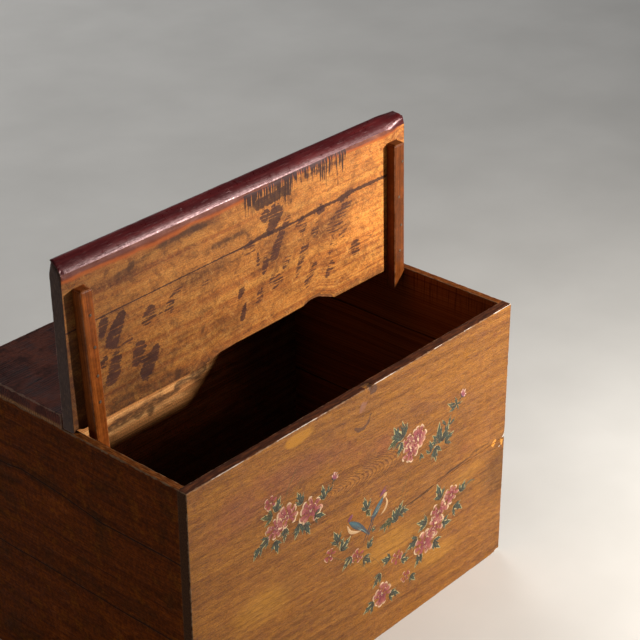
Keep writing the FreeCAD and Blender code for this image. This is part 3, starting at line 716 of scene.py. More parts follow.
    # end grain: very dark grey-brown
    endg = M.attr("endg")
    endc = M.ramp(M.noise(M.comb(M.mul(x, 300.0), M.mul(y, 90.0), M.mul(z, 500.0)), 1.0, 4.0, 0.65),
                  [(0.3, srgb(40, 28, 22)), (0.5, srgb(64, 46, 34)), (0.72, srgb(96, 74, 54))])
    col = M.mix(M.smooth(endg, 0.35, 0.65), col, endc)
    # worn arrises of the lacquered faces
    edge, worn = M.attr("edge"), M.attr("worn")
    wn = M.noise(ob, 80.0, 5.0, 0.65)
    wr = M.mul(M.smooth(M.sub(edge, M.mul(M.sub(wn, 0.36), 9.0)), 1.0, -0.8), worn)
    col = M.mix(M.mul(M.mul(wr, lmask), 0.5), col, srgb(190, 140, 124))
    ch = M.attr("chip")
    mask = M.smooth(M.add(ch, M.mul(M.sub(tiny, 0.5), 0.9)), 0.40, 0.66)
    col = M.mix(M.mul(mask, 0.85), col, M.mix(tiny, srgb(70, 38, 20), srgb(150, 92, 48)))
    ro_raw = M.line(mid, 0.3, 0.7, 0.52, 0.70)
    ro_lac = M.line(tiny, 0.3, 0.7, 0.25, 0.42)
    M.b.inputs["Specular Tint"].default_value = (1.0, 0.66, 0.68, 1.0)
    nd = M.n("Mix")
    nd.data_type = "FLOAT"
    M.put(nd.inputs[0], M.mul(lmask, M.inv(M.smooth(endg, 0.3, 0.7))))
    M.put(nd.inputs[2], ro_raw)
    M.put(nd.inputs[3], ro_lac)
    hh = M.add(h, M.mul(M.sub(tiny, 0.5), 0.8))
    return finish_mat(M, "lid", col, nd.outputs[0], hh, 0.0003, spec=0.5)


def mat_batten():
    M = Mat("batten_wood")
    gc = M.attr("gc", "Vector")
    ob = M.obj()
    col, v, h, late = wood(M, gc, tint([
        (0.1, srgb(150, 88, 48)), (0.45, srgb(134, 76, 40)), (0.75, srgb(118, 64, 33)), (1.0, srgb(92, 48, 25))], 0.98, 0.80, 0.40),
        seed=41.0, ring=0.0035, a0=0.1, b0=0.05, depth=0.02, slope=0.02, wob=0.008,
        ring_w=0.26, fibre_w=0.40, pore=0.15, fine=500.0)
    mid = M.noise(ob, 40.0, 4.0, 0.6)
    col = M.scale_col(col, M.line(mid, 0.3, 0.7, 0.72, 1.24))
    col = M.scale_col(col, M.line(M.attr("tone"), 0.0, 1.0, 0.80, 1.30))
    col = M.scale_col(col, M.line(M.noise(ob, 170.0, 4.0, 0.65), 0.34, 0.66, 0.84, 1.14))
    edge, worn = M.attr("edge"), M.attr("worn")
    wn = M.noise(ob, 110.0, 4.0, 0.6)
    wr = M.mul(M.smooth(M.sub(edge, M.mul(M.sub(wn, 0.36), 7.0)), 0.9, -0.6), worn)
    col = M.mix(M.mul(wr, 0.35), col, srgb(198, 140, 104))
    stn = M.attr("stain")
    mask = M.smooth(M.add(stn, M.mul(M.sub(mid, 0.5), 0.5)), 0.35, 0.75)
    col = M.mix(M.mul(mask, 0.6), col, srgb(56, 32, 24))
    ro = M.line(mid, 0.3, 0.7, 0.36, 0.5)
    return finish_mat(M, "batten", col, ro, h, 0.0003, spec=0.17)


def mat_inner():
    M = Mat("inner_wood")
    gc = M.attr("gc", "Vector")
    ob = M.obj()
    col, v, h, late = wood(M, gc, [
        (0.1, srgb(104, 68, 42)), (0.45, srgb(78, 48, 28)), (0.95, srgb(44, 27, 17))],
        seed=51.0, ring=0.0055, a0=0.4, b0=0.08, depth=0.015, slope=0.04, wob=0.018)
    mid = M.noise(ob, 18.0, 5.0, 0.6)
    col = M.mix(M.mul(M.smooth(mid, 0.5, 0.74), 0.5), col, srgb(60, 40, 30))
    return finish_mat(M, "inner", col, M.line(mid, 0.3, 0.7, 0.6, 0.82), h, 0.0006, spec=0.25)


def mat_simple(name, stops, scale, rough, metallic=0.0, stretch=(1, 1, 1), dist=0.0002):
    M = Mat(name)
    ob = M.obj()
    x, y, z = M.sep(ob)
    f = M.noise(M.comb(M.mul(x, stretch[0]), M.mul(y, stretch[1]), M.mul(z, stretch[2])), scale, 5.0, 0.62)
    col = M.ramp(f, stops)
    M.b.inputs["Metallic"].default_value = metallic
    return finish_mat(M, name, col, M.line(f, 0.3, 0.7, rough[0], rough[1]), f, dist)


mat_front(); mat_end(); mat_back(); mat_top(); mat_lid(); mat_batten(); mat_inner()
mat_simple("bamboo", [(0.3, srgb(122, 88, 50)), (0.5, srgb(160, 120, 74)), (0.7, srgb(190, 150, 98))],
           300.0, (0.5, 0.7), stretch=(1, 1, 1))
mat_simple("nail_iron", [(0.3, srgb(60, 42, 32)), (0.5, srgb(98, 74, 56)), (0.7, srgb(132, 108, 84))],
           400.0, (0.55, 0.72), metallic=0.1)

# ------------------------------------------------------------------ case boards
W, H = 860.0, 565.5
SKIN = 0.35          # lacquered faces stand this far inside the nominal size


def z_front_joint(x):
    """the joint of the two front boards wanders a little along its length"""
    return polyline(x, [(-430, 266), (-200, 264), (0, 261.5), (118, 261), (150, 262.3), (173, 263.6),
                        (199, 265.4), (250, 267.2), (300, 268.4), (350, 269.2), (400, 269.6), (430, 269.2)]) \
        + 0.8 * (fbm(np.asarray(x) / 22.0, 0.5, 77, 3) - 0.5)


def capsule(X, Z, x0, z0, x1, z1, w):
    """1 on the line, 0 at distance w"""
    dx, dz = x1 - x0, z1 - z0
    t = np.clip(((X - x0) * dx + (Z - z0) * dz) / (dx * dx + dz * dz + 1e-9), 0, 1)
    return np.clip(1 - np.hypot(X - x0 - t * dx, Z - z0 - t * dz) / w, 0, 1)


def blob(X, Z, cx, cz, rx, rz, ang=0.0):
    c, s = math.cos(math.radians(ang)), math.sin(math.radians(ang))
    u, v = (X - cx) * c + (Z - cz) * s, -(X - cx) * s + (Z - cz) * c
    return np.clip(1 - np.hypot(u / rx, v / rz), 0, 1)


def patch(X, Z, cx, cz, length, width, ang, soft=2.0, rag=2.5, seed=1):
    """an oblong daub: 1 inside, 0 outside, with ragged ends"""
    c, s = math.cos(math.radians(ang)), math.sin(math.radians(ang))
    u, v = (X - cx) * c + (Z - cz) * s, -(X - cx) * s + (Z - cz) * c
    n = fbm(X / 7.0, Z / 7.0, seed, 3) - 0.5
    d = np.minimum(length / 2 - np.abs(u) + 2 * rag * n, width / 2 - np.abs(v) + rag * n)
    corner = np.hypot(np.clip(np.abs(u) - length / 2 + width / 3, 0, None),
                      np.clip(np.abs(v) - width / 6, 0, None)) - width / 3
    d = np.minimum(d, -corner + rag * n)
    return sstep(d, -soft, soft)


def paint_front(p, xyz):
    X, Y, Z = xyz[:, 0], xyz[:, 1], xyz[:, 2]
    out = (Y < -270).astype(float)
    mauve = 0.9 * blob(X, Z, -300, 470, 190, 90, 8) + 0.8 * blob(X, Z, -120, 480, 150, 60, 0) \
        + 0.7 * blob(X, Z, 60, 430, 180, 60, -6) + 0.5 * blob(X, Z, 300, 300, 130, 60, 0)
    mauve += 0.5 * blob(X, Z, 330, 150, 90, 40, 0)
    ochre = 1.2 * blob(X, Z, -168, 546, 66, 22, 0) + 0.6 * blob(X, Z, -360, 540, 60, 18, 0) \
        + 0.5 * blob(X, Z, 220, 470, 70, 26, 5)
    golden = 0.8 * blob(X, Z, 60, 200, 240, 70, 0) + 0.8 * blob(X, Z, -250, 250, 160, 60, 0) \
        + 0.6 * blob(X, Z, 300, 240, 120, 30, 2) + 0.6 * blob(X, Z, 200, 100, 200, 50, 0)
    dark = 0.8 * blob(X, Z, 250, 205, 260, 60, 0) + 0.75 * blob(X, Z, 420, 230, 80, 200, 0) + 0.6 * blob(X, Z, -200, 150, 300, 120, 0) \
        + 0.4 * blob(X, Z, 200, 60, 300, 80, 0) + 0.5 * blob(X, Z, -420, 300, 40, 300, 0)
    stain = 0.9 * patch(X, Z, 27, 556, 20, 17, 0, 2, 3, 3)
    stain += 1.0 * capsule(X, Z, -20, 496, -12, 490, 6.4) + 1.1 * capsule(X, Z, -12, 490, 3, 488, 5.6) \
        + 1.0 * capsule(X, Z, 3, 488, 15, 495, 5.0) + 0.9 * capsule(X, Z, 15, 495, 21, 510, 4.2)
    stain += 0.7 * blob(X, Z, 1, 514, 11, 8) + 0.8 * capsule(X, Z, -80, 302, -72, 300, 2.4) + 0.7 * capsule(X, Z, -66, 298, -60, 299, 2.0) + 0.5 * blob(X, Z, 60, 498, 4, 4) \
        + 0.8 * blob(X, Z, 271, 521, 5, 4) + 0.8 * blob(X, Z, 169, 517, 4, 4)
    pink = 0.62 * patch(X, Z, 1, 532, 30, 20, 70, 6, 10, 9)
    rim = sstep(Z, 563.6, 564.9)
    endg = np.maximum(sstep(-X, 428.2, 429.3), sstep(X, 428.2, 429.3)) * (1 - rim)
    # painted highlight along the front arris of the rim, broken up along X; pale chips and worn corners are added below
    along = fbm(X / 60.0, 3.3, 61, 3)
    white = np.exp(-(((Z - 564.8) / 0.9) ** 2)) * np.exp(-(((Y + 278.0) / 1.05) ** 2)) \
        * sstep(along, 0.44, 0.56) * 0.95 * (np.abs(X - 17) > 12)
    white += np.exp(-((X + 429) / 1.4) ** 2) * np.exp(-((Y + 278) / 2.0) ** 2) * 0.25
    zj = z_front_joint(X)
    d = np.abs(Z - zj)
    amt = sstep(X, 112, 140) * 0.9 + 0.22
    amt = amt * (0.6 + 0.6 * fbm(X / 40.0, 9.1, 71, 2))
    amt = amt * (0.55 + 0.75 * sstep(X, 222, 190)) * (0.5 + 0.8 * sstep(fbm(X / 12.0, 4.4, 79, 3), 0.38, 0.56))
    crack = np.exp(-(d / 1.1) ** 2) * amt * out
    for k, (dz, xa, xb, st_) in enumerate(((5.5, 190, 300, 0.62), (9.0, 240, 400, 0.66), (13.0, 225, 400, 0.66), (3.0, 320, 425, 0.70),
                                           (-6.5, 230, 330, 0.55), (17.0, 260, 380, 0.5), (-3.5, 90, 150, 0.55), (-12.0, 300, 425, 0.5), (24.0, 300, 425, 0.45))):
        ln = np.exp(-((Z - zj - dz - 2.2 * (fbm(X / 45.0, 2.0 + k, 81 + k, 3) - 0.5) * 2) / 1.4) ** 2)
        crack = np.maximum(crack, st_ * ln * sstep(X, xa - 8, xa + 20) * sstep(X, xb + 8, xb - 20) * out)
    crack += 0.75 * np.exp(-((Z - zj + 2 + 0.02 * (X - 150)) / 3.0) ** 2) * sstep(X, 118, 150) * sstep(X, 222, 190) * out
    crack += 0.45 * capsule(X, Z, 196, 268, 330, 279, 3.5) * out + 0.4 * capsule(X, Z, 300, 262, 420, 262, 4) * out
    chip = 1.2 * patch(X, Z, 396, 271, 15, 10, 35, 1.2, 3, 13) * out + 1.2 * patch(X, Z, 421, 262, 8, 13, 10, 1.2, 3, 14) * out
    chipw = 1.2 * blob(X, Z, 429, 276, 5, 6) + 1.0 * blob(X, Z, 425, 272, 6, 4) + 1.0 * blob(X, Z, 414, 256, 7, 2.5, 20)
    white = white + chipw * out
    white += 1.3 * blob(X, Z, 422, 4, 13, 6) * out
    return dict(mauve=mauve * out, ochre=ochre * out, golden=golden * out, dark=dark * out, stain=stain * out,
                pinkish=pink * out, rim=rim, endg=endg, white=white, crack=crack, chip=chip)


def front_relief(upper):
    def f(p, edge, worn):
        X = p[:, 0] - 430
        out = p[:, 2] > 12
        Zr = p[:, 1]
        dent = np.zeros(len(p))
        if upper:
            H1 = H - 267.0
            # worn nick in the rim
            nk = np.exp(-((X - 17) / 8.0) ** 4) * sstep(Zr, H1 - 9, H1 - 1)
            dent += nk * (1.6 + 3.0 * fbm(X / 3.0, p[:, 2] / 3.0, 91, 3)) * sstep(p[:, 2], 4, 9)
            # scratched hook mark
            Z = Zr + 267.0
            dent += 0.25 * np.maximum(capsule(X, Z, -16, 490, 4, 489, 2.5), capsule(X, Z, 4, 489, 17, 500, 2.5)) * out
            # crumbled right-hand end of the joint
            dent += 1.4 * sstep(X, 408, 429) * np.exp(-((Zr - 4) / 7.0) ** 2) * fbm(X / 4, Zr / 4, 95, 3) * out
        else:
            # the crushed bottom corner at the right is shaped by corner_wear in place_lower; nothing is added here
            dent += 0.0
        jz = (Zr if upper else 267.0 - Zr)
        gap = sstep(X, 120, 260) * 0.7 + 0.05
        dent += gap * np.exp(-(jz / 1.3) ** 2) * (0.4 + 0.9 * fbm(X / 9.0, 1.7, 97, 3)) * out
        return dent
    return f


def corner_wear(x, z):
    """rise of the lower edge at the crushed right-hand corner"""
    return 5.5 * np.clip((x - 402) / 28.0, 0, 1) * (0.8 + 0.4 * fbm(x / 4.0, z / 5.0, 99, 2))


T_F = 21.0 - SKIN


def place_upper(a, b, c):
    x = a - 430.0
    h = H - 267.0
    zj = z_front_joint(x)
    z = zj + b / h * (H - 0.25 - zj)
    return x, -258.0 - c, z


def place_lower(a, b, c):
    x = a - 430.0
    zj = z_front_joint(x)
    lo = corner_wear(x, c) * (1 - np.clip(b / 60.0, 0, 1)) ** 2
    z = lo + b / 267.0 * (zj - 0.0)
    z = np.maximum(z, lo)
    return x, -258.0 - c, z


seam_r = (lambda p: 0.25 + 1.0 * sstep(p[:, 0] - 430, 110, 200) + 0.8 * sstep(p[:, 0] - 430, 380, 430), 0.1)
tight = (0.25, 0.05)
AR_UP = {"all": (1.4, 1.0), (2, 4): tight, (2, 5): seam_r, (0, 2): tight, (1, 2): tight,
         (0, 4): tight, (1, 4): tight, (3, 5): (1.9, 1.0), (3, 4): (1.6, 0.8)}
AR_LO = {"all": (1.6, 1.0), (3, 4): tight, (3, 5): seam_r, (0, 3): tight, (1, 3): tight,
         (0, 4): tight, (1, 4): tight}
board("front_board_upper_finished", 860, H - 267.0, T_F, place_upper, (2.8, 2.8, 4.0), AR_UP,
      ["front_board_upper"], "case", MATS["front"], 101, 0.6,
      front_relief(True), paint_front, gc_off=(0, 0, 0))
board("front_board_lower_finished", 860, 267.0, T_F, place_lower, (3.0, 3.0, 4.0), AR_LO,
      ["front_board_lower"], "case", MATS["front"], 131, 0.7,
      front_relief(False), paint_front, gc_off=(431, 163, 2))


# ---- end boards: a runs along Y
def wavy_joint(side, level, y):
    """height of the joint between two end boards, along Y"""
    if side < 0 and level == 1:
        return polyline(y, [(-258, 418), (-222, 418.6), (-155, 417), (-67, 414.7), (36, 427.7),
                            (138, 434.8), (174, 428.7), (263, 424)]) + 0.0
    base = {(-1, 0): 250.0, (1, 0): 230.0, (1, 1): 434.0}[(side, level)]
    return base + 1.6 * (fbm(np.asarray(y) / 90.0, level + 3.3 * side, 55, 2) - 0.5) * 2


def paint_end(side):
    def f(p, xyz):
        X, Y, Z = xyz[:, 0], xyz[:, 1], xyz[:, 2]
        out = (np.abs(X) > 423).astype(float)
        rim = sstep(Z, 563.8, 564.9)
        stain = np.zeros(len(X))
        white = np.zeros(len(X))
        for lv in (0, 1):
            zj = wavy_joint(side, lv, Y)
            stain += (0.75 + 0.5 * fbm(Y / 16.0, 1.3 + lv, 57, 3)) * np.exp(-((Z - zj) / 2.0) ** 2)
        if side < 0:
            stain += (0.9 * blob(X * 0 + Y, Z, -216, 481, 9, 4) + 0.8 * blob(Y, Z, 98, 454, 8, 4)) * out
            white += (1.1 * blob(Y, Z, -54, 526, 4, 4)) * out
            white += 0.55 * np.exp(-((Z - 504 - 2 * np.sin(Y / 30)) / 1.2) ** 2) * (Y > -250) * (Y < -102) * out
        white += 0.42 * np.exp(-(((Z - 564.4) / 1.6) ** 2)) * out
        # the right end boards carry painted light on their inner face
        return dict(rim=rim, stain=stain, white=white, lift=np.full(len(X), 1.0 if side > 0 else 0.0))
    return f


def end_board(name, side, z0, z1, lv_lo, lv_hi, seed, gco):
    nz = z1 - z0

    def place(a, b, c):
        y = a - 258.0
        lo = wavy_joint(side, lv_lo, y) if lv_lo is not None else 0.0
        hi = wavy_joint(side, lv_hi, y) if lv_hi is not None else H - 0.25
        z = lo + b / nz * (hi - lo)
        return side * (414.0 + c), y, z
    ar = {"all": (0.5, 0.0), (2, 4): tight, (3, 4): tight,
          (2, 5): (0.7, 0.2), (3, 5): (0.7, 0.2),
          (0, 4): tight, (1, 4): tight, (0, 5): (0.3, 0.1), (1, 5): (0.3, 0.1),
          (0, 2): tight, (0, 3): tight, (1, 2): tight, (1, 3): tight}
    if lv_hi is None:
        ar[(3, 5)] = (1.6, 1.0)
        ar[(3, 4)] = (1.6, 0.9)
    if lv_lo is None:
        ar[(2, 5)] = (1.8, 1.0)
    board(name + "_finished", 521.0, nz, 16.0 - SKIN, place, (4.0, 4.0, 4.0), ar, [name], "case",
          MATS["end"], seed, 0.8, None, paint_end(side), gc_off=gco)


end_board("left_end_board_bottom", -1, 0, 250, None, 0, 201, (700, 20, 0))
end_board("left_end_board_middle", -1, 250, 421, 0, 1, 211, (120, 440, 3))
end_board("left_end_board_top", -1, 421, 565.5, 1, None, 221, (900, 210, 5))
end_board("right_end_board_bottom", 1, 0, 230, None, 0, 231, (40, 820, 2))
end_board("right_end_board_middle", 1, 230, 434, 0, 1, 241, (1300, 90, 1))
end_board("right_end_board_top", 1, 434, 565.5, 1, None, 251, (560, 660, 4))


# ---- back boards
def paint_back(p, xyz):
    X, Y, Z = xyz[:, 0], xyz[:, 1], xyz[:, 2]
    ins = (Y < 270).astype(float)
    grey = 1.0 * capsule(X, Z, -140, 321, -40, 317, 12) ** 0.6 + 0.8 * capsule(X, Z, -100, 330, 20, 334, 13) ** 0.6 + 1.1 * capsule(X, Z, 70, 334, 140, 346, 14) ** 0.6 + 0.9 * blob(X, Z, 128, 330, 30, 34) + 1.0 * capsule(X, Z, -40, 318, 60, 327, 11) ** 0.6 + 1.2 * blob(X, Z, -8, 306, 16, 16)
    grey += 0.5 * np.exp(-((Z - 281) / 2.0) ** 2) + 0.6 * blob(X, Z, 40, 346, 60, 9)
    # painted shade: the inner face is darkened right of x 170 and below z 232, where it lies in shadow
    aged = np.maximum(sstep(X, 170, 300), sstep(Z, 232, 190))
    return dict(grey=grey * ins, aged=aged * ins)


def back_board(name, z0, z1, top, seed, gco):
    nz = z1 - z0

    def place(a, b, c):
        return 430.0 - a, 263.0 + c, z0 + b * ((nz - (0.25 if top else 0.0)) / nz)
    ar = {"all": (1.4, 1.0), (0, 4): tight, (1, 4): tight}
    if top:
        ar.update({(2, 4): tight, (2, 5): (0.6, 0.2), (0, 2): tight, (1, 2): tight, (3, 4): tight, (3, 5): (0.5, 0.2)})
    else:
        ar.update({(3, 4): tight, (3, 5): (0.6, 0.2), (0, 3): tight, (1, 3): tight})
    board(name + "_finished", 860.0, nz, 16.0 - SKIN, place, (4.5, 4.5, 4.0), ar, [name], "case",
          MATS["back"], seed, 0.6, None, paint_back, gc_off=gco)


back_board("back_board_lower", 0.0, 281.0, False, 301, (250, 600, 0))
back_board("back_board_upper", 281.0, 565.5, True, 311, (980, 1200, 4))


# ---- fixed rear half of the top
def place_top(a, b, c):
    return a - 430.0, 16.4 + b, 565.5 + c * (27.6 - SKIN) / 27.6


board("rear_top_board_finished", 860.0, 262.6, 27.6, place_top, (4.0, 4.0, 4.0),
      {"all": (2.2, 1.0), (2, 5): (2.4, 1.0), (0, 4): (0.8, 0.3), (1, 4): (0.8, 0.3), (3, 4): (0.8, 0.3)},
      ["rear_top_board"], "case", MATS["top"], 331, 1.0)

# ---- bottom boards and cleats
for i, (nm, y0, y1) in enumerate((("bottom_board_front", -258.0, -84.7), ("bottom_board_middle", -84.1, 89.1),
                                  ("bottom_board_rear", 89.7, 263.0))):
    def place_b(a, b, c, y0=y0):
        return a - 414.0, y0 + b, 30.0 + c
    board(nm + "_finished", 828.0, y1 - y0, 14.0, place_b, (9.0, 9.0, 5.0), {"all": (1.0, 0.6)},
          [nm], "case", MATS["inner"], 401 + 7 * i, 0.6, gc_off=(300 * i, 377 * i, 3 * i))
for sd, nm in ((-1, "left_bottom_cleat"), (1, "right_bottom_cleat")):
    def place_c(a, b, c, sd=sd):
        return sd * (414.0 - b), a - 258.0, 4.0 + c
    board(nm + "_finished", 521.0, 20.0, 26.0, place_c, (9.0, 4.0, 5.0), {"all": (1.2, 0.6)},
          [nm], "case", MATS["inner"], 451 + sd, 0.6, gc_off=(50, 900, 30))

# ------------------------------------------------------------------ lid
PIV_Z, TH = 580.0, math.radians(-90.7)
REAR_Y, LID_Z0, T_LID = 12.2, 565.8, 27.6
CT, ST = math.cos(TH), math.sin(TH)


def open_lid(x, s, n):
    """lid place (x, distance from its rear edge, height above its underside) to the open lid"""
    y = REAR_Y - s
    z = LID_Z0 + n - PIV_Z
    return x, y * CT - z * ST, PIV_Z + y * ST + z * CT


def lid_joint(x):
    return 188.4 + 10.2 * (x + 430) / 860.0 + 0.5 * (fbm(np.asarray(x) / 30.0, 0.2, 83, 3) - 0.5)


def lid_waney(x):
    w = polyline(x, [(-430, 0), (-128, 0), (-104, 5), (-82, 10.2), (-40, 12), (30, 12.4), (100, 13.6), (140, 15.2),
                     (162, 19.6), (182, 18.6), (204, 8.6), (226, 0), (430, 0)])
    return w


def place_lid_front(a, b, c):
    x = a - 430.0
    s0 = lid_joint(x)
    u = np.clip(c / T_LID, 0, 1)
    s1 = 294.0 + 22.2 * (u + 0.62 * u * (1 - u))
    # worn rounder and fuller towards the right-hand end
    s1 = s1 + (312.4 - s1) * sstep(x, 372.0, 428.0) - 0.25
    return open_lid(x, s0 + b / 110.0 * (s1 - s0), c)


def place_lid_rear(a, b, c):
    x = a - 430.0
    s0, s1 = lid_waney(x), lid_joint(x)
    # the wane stays the same through the thickness
    s0 = s0 + 0.0 * c
    return open_lid(x, s0 + b / 193.0 * (s1 - s0), c)


# daubs: x, s, length, width, angle from X (degrees), strength
SMEARS = [
    (-321, 154, 58, 18, 57, 1.0), (-350, 167, 32, 12.5, 70, 0.92), (-324, 103, 30, 16, 58, 0.66),
    (-336, 72, 32, 18, 54, 1.0), (-353, 104, 20, 10, 60, 0.85), (-276, 88, 38, 17, 62, 0.96), (-250, 62, 52, 18, 52, 1.0),
    (-248, 150, 30, 19, 40, 0.62), (-197, 152, 26, 14, 62, 0.50), (-262, 76, 18, 14, 50, 0.6),
    (43, 234, 20, 14, 60, 0.95), (65, 218, 46, 20, 60, 0.95), (75, 170, 58, 13, 62, 0.85),
    (39, 137, 26, 10, 70, 0.80), (21, 156, 24, 4.5, 88, 0.85), (136, 116, 62, 11, 64, 0.62),
    (161, 75, 44, 11, 52, 0.52), (212, 63, 28, 10, 54, 0.80), (285, 83, 26, 20, 70, 0.55),
    (64, 98, 26, 24, 40, 0.55), (-20, 66, 27, 8, 70, 0.95), (-25, 107, 18, 9, 55, 0.80),
    (23, 84, 24, 11, 80, 0.50), (190, 194, 16, 12, 40, 1.0), (238, 160, 54, 22, 40, 0.42),
    (-112, 158, 18, 11, 80, 0.42), (138, 182, 22, 19, 45, 0.58), (221, 108, 24, 13, 50, 0.42),
    (262, 178, 26, 12, 10, 0.62), (-2, 186, 26, 18, 20, 0.40), (100, 205, 18, 9, 40, 0.7),
    (-300, 120, 22, 9, 20, 0.4), (175, 160, 26, 12, 60, 0.35), (96, 128, 30, 12, 60, 0.40),
    (-180, 168, 26, 8, 20, 0.5), (250, 128, 26, 14, 60, 0.34), (-222, 138, 14, 10, 30, 0.4),
]


def paint_lid(p, xyz, front):
    x = p[:, 0] - 430.0
    n = p[:, 2]
    if front:
        s0 = lid_joint(x)
        reach = 294.0 + 25.0 * n / T_LID
        full = sstep(x, 372.0, 428.0)
        s = s0 + p[:, 1] / 110.0 * (reach + (312.4 - reach) * full - s0)
    else:
        s0 = lid_waney(x)
        s = s0 + p[:, 1] / 193.0 * (lid_joint(x) - s0)
    under = (n < 1.0).astype(float)
    sm, hx, hy = np.zeros(len(x)), np.zeros(len(x)), np.zeros(len(x))
    for k, (cx, cs, ln, wd, an, st) in enumerate(SMEARS):
        near = (np.abs(x - cx) < 70) & (np.abs(s - cs) < 70)
        if near.any():
            xs, ss_ = x[near], s[near]
            c, sn = math.cos(math.radians(an)), math.sin(math.radians(an))
            u, v = (xs - cx) * c + (ss_ - cs) * sn, -(xs - cx) * sn + (ss_ - cs) * c
            rag = fbm(xs / 6.0, ss_ / 6.0, 500 + k, 3) - 0.5
            taper = 1.0 + 0.25 * u / (ln / 2) * (1 if k % 2 else -1)
            d = 1 - (np.abs(u / (ln * 0.66)) ** 3 + np.abs(v / (wd * 0.78 * taper)) ** 3) + 1.0 * rag
            val = st * sstep(d, -0.2, 0.4)
            better = val > sm[near]
            idx = np.nonzero(near)[0][better]
            sm[idx] = val[better]
            near2 = np.nonzero(near)[0]
            own = val > 0.02
            sel = own & (val >= sm[near])
            hx[near2[sel]] = v[sel] + 40 * k
            hy[near2[sel]] = u[sel]
    # combed runs: strength falls with the distance below a ragged band
    comb, combd = np.zeros(len(x)), np.full(len(x), 2.0)
    for x0, x1, top, deep, st in ((-10, 60, 284, 40, 1.0), (55, 116, 287, 54, 1.0), (112, 186, 290, 26, 1.0),
                                  (180, 262, 292, 40, 1.0)):
        side = sstep(x, x0 - 4, x0 + 4) * sstep(x, x1 + 4, x1 - 4)
        tl = top + 3 * (fbm(x / 25.0, 0.4, 611, 2) - 0.5)
        d = (tl - s) / deep
        ok = (side > 0.4) & (d > -0.12)
        combd = np.where(ok, np.minimum(combd, d), combd)
        comb = np.maximum(comb, st * side * sstep(s, tl + 4, tl + 0.5))
    combb = 0.92 * patch(x, s, 64, 263, 96, 24, 3, 4, 7, 620)
    combb = np.maximum(combb, 0.68 * patch(x, s, 192, 274, 124, 14, 1, 4, 5, 621))
    combb = np.maximum(combb, 0.45 * patch(x, s, 128, 276, 60, 10, 0, 4, 5, 623))
    for x0, w0, s0_, s1_ in ((-8, 4, 280, 249), (28, 5, 276, 242), (47, 4, 268, 246), (70, 6, 270, 231), (84, 4, 266, 246),
                             (108, 6, 276, 237), (139, 4, 284, 262), (168, 4, 286, 258), (204, 5, 282, 239),
                             (222, 4, 282, 252), (237, 4, 280, 231), (250, 4, 284, 250)):
        combb = np.maximum(combb, 0.72 * capsule(x, s, x0, s0_, x0 + 1.5, s1_, w0) ** 0.6)
    # lacquer bleed near the front arris
    wob = 10 * (fbm(x / 70.0, 1.1, 633, 3) - 0.5) + 3 * sstep(x, 0, 100)
    b0 = polyline(x, [(-430, 272), (-405, 268), (-200, 264), (-100, 268), (0, 276), (250, 276), (320, 270), (365, 267), (400, 274), (418, 286), (430, 292)])
    b1 = polyline(x, [(-430, 288), (0, 289), (250, 289), (340, 287), (400, 288), (430, 296)])
    bleed = sstep(s, b0 + wob, b1 + wob * 0.4)
    # dark stain along the joint
    j = lid_joint(x)
    width = polyline(x, [(-430, 1.3), (-50, 1.4), (-22, 2.2), (10, 3.2), (38, 6.0), (60, 4.5), (94, 3.4), (130, 2.6),
                         (180, 4.8), (205, 4.0), (235, 3.2), (250, 7.5), (262, 8.0), (285, 3.6), (330, 4.4), (372, 3.0), (430, 1.5)])
    off = polyline(x, [(-430, 0), (0, 0), (38, 3), (94, -1), (180, 2), (250, 2), (275, 5), (372, 3), (430, 0)])
    width = width * (0.75 + 0.9 * (fbm(x / 5.0, 6.6, 641, 3) - 0.2)) + 0.2
    off = off + 2.2 * (fbm(x / 7.0, 2.6, 643, 3) - 0.5) * sstep(x, -30, 10)
    stain = np.exp(-(np.abs(s - j - off) / np.maximum(width, 0.5)) ** 1.6) * polyline(x, [(-430, 0.95), (-50, 0.95), (0, 1.0), (430, 1.0)])
    # sooty marks along the rear edge and in long bands, and painted shade in the crease at the rear edge
    soot = 0.9 * capsule(x, s, -340, 16, -190, 16, 17) + 0.6 * capsule(x, s, -190, 12, -110, 10, 12) \
        + 0.75 * capsule(x, s, -309, 251, -206, 269, 14) + 0.85 * capsule(x, s, -206, 270, -104, 268, 12) \
        + 0.85 * capsule(x, s, -90, 221, -10, 222, 9) + 0.5 * capsule(x, s, -330, 30, -250, 38, 16) \
        + 0.5 * capsule(x, s, -180, 272, -60, 276, 9) + 0.35 * blob(x, s, -150, 178, 90, 18) \
        + 0.5 * blob(x, s, -40, 176, 70, 22) + 0.35 * blob(x, s, 110, 180, 120, 24) + 0.3 * blob(x, s, 30, 130, 90, 50)
    soot = soot + 0.5 * capsule(x, s, -279, 258, -286, 218, 13) + 0.4 * capsule(x, s, -400, 60, -400, 200, 20)
    # painted shade: a narrow dark band in the crease along the rear edge
    soot = soot + 0.45 * np.exp(-((s - lid_waney(x)) / 5.0) ** 2) * (not front)
    # clouds
    mott = 0.9 * blob(x, s, -130, 268, 100, 18) + 0.7 * blob(x, s, -300, 245, 90, 18) + 0.8 * blob(x, s, -60, 221, 80, 12, 4) \
        + 0.8 * blob(x, s, -120, 180, 90, 26) + 0.6 * blob(x, s, 200, 150, 90, 50) + 0.7 * blob(x, s, -300, 50, 130, 40) \
        + 0.5 * blob(x, s, -60, 60, 100, 34) + 0.7 * blob(x, s, 60, 160, 60, 50) + 0.5 * blob(x, s, 300, 60, 110, 30) \
        + 0.6 * blob(x, s, -330, 150, 50, 50) + 0.5 * blob(x, s, 260, 185, 50, 30) + 0.9 * blob(x, s, -420, 80, 40, 120)
    mott += 0.6 * np.exp(-(s / 9.0) ** 2)
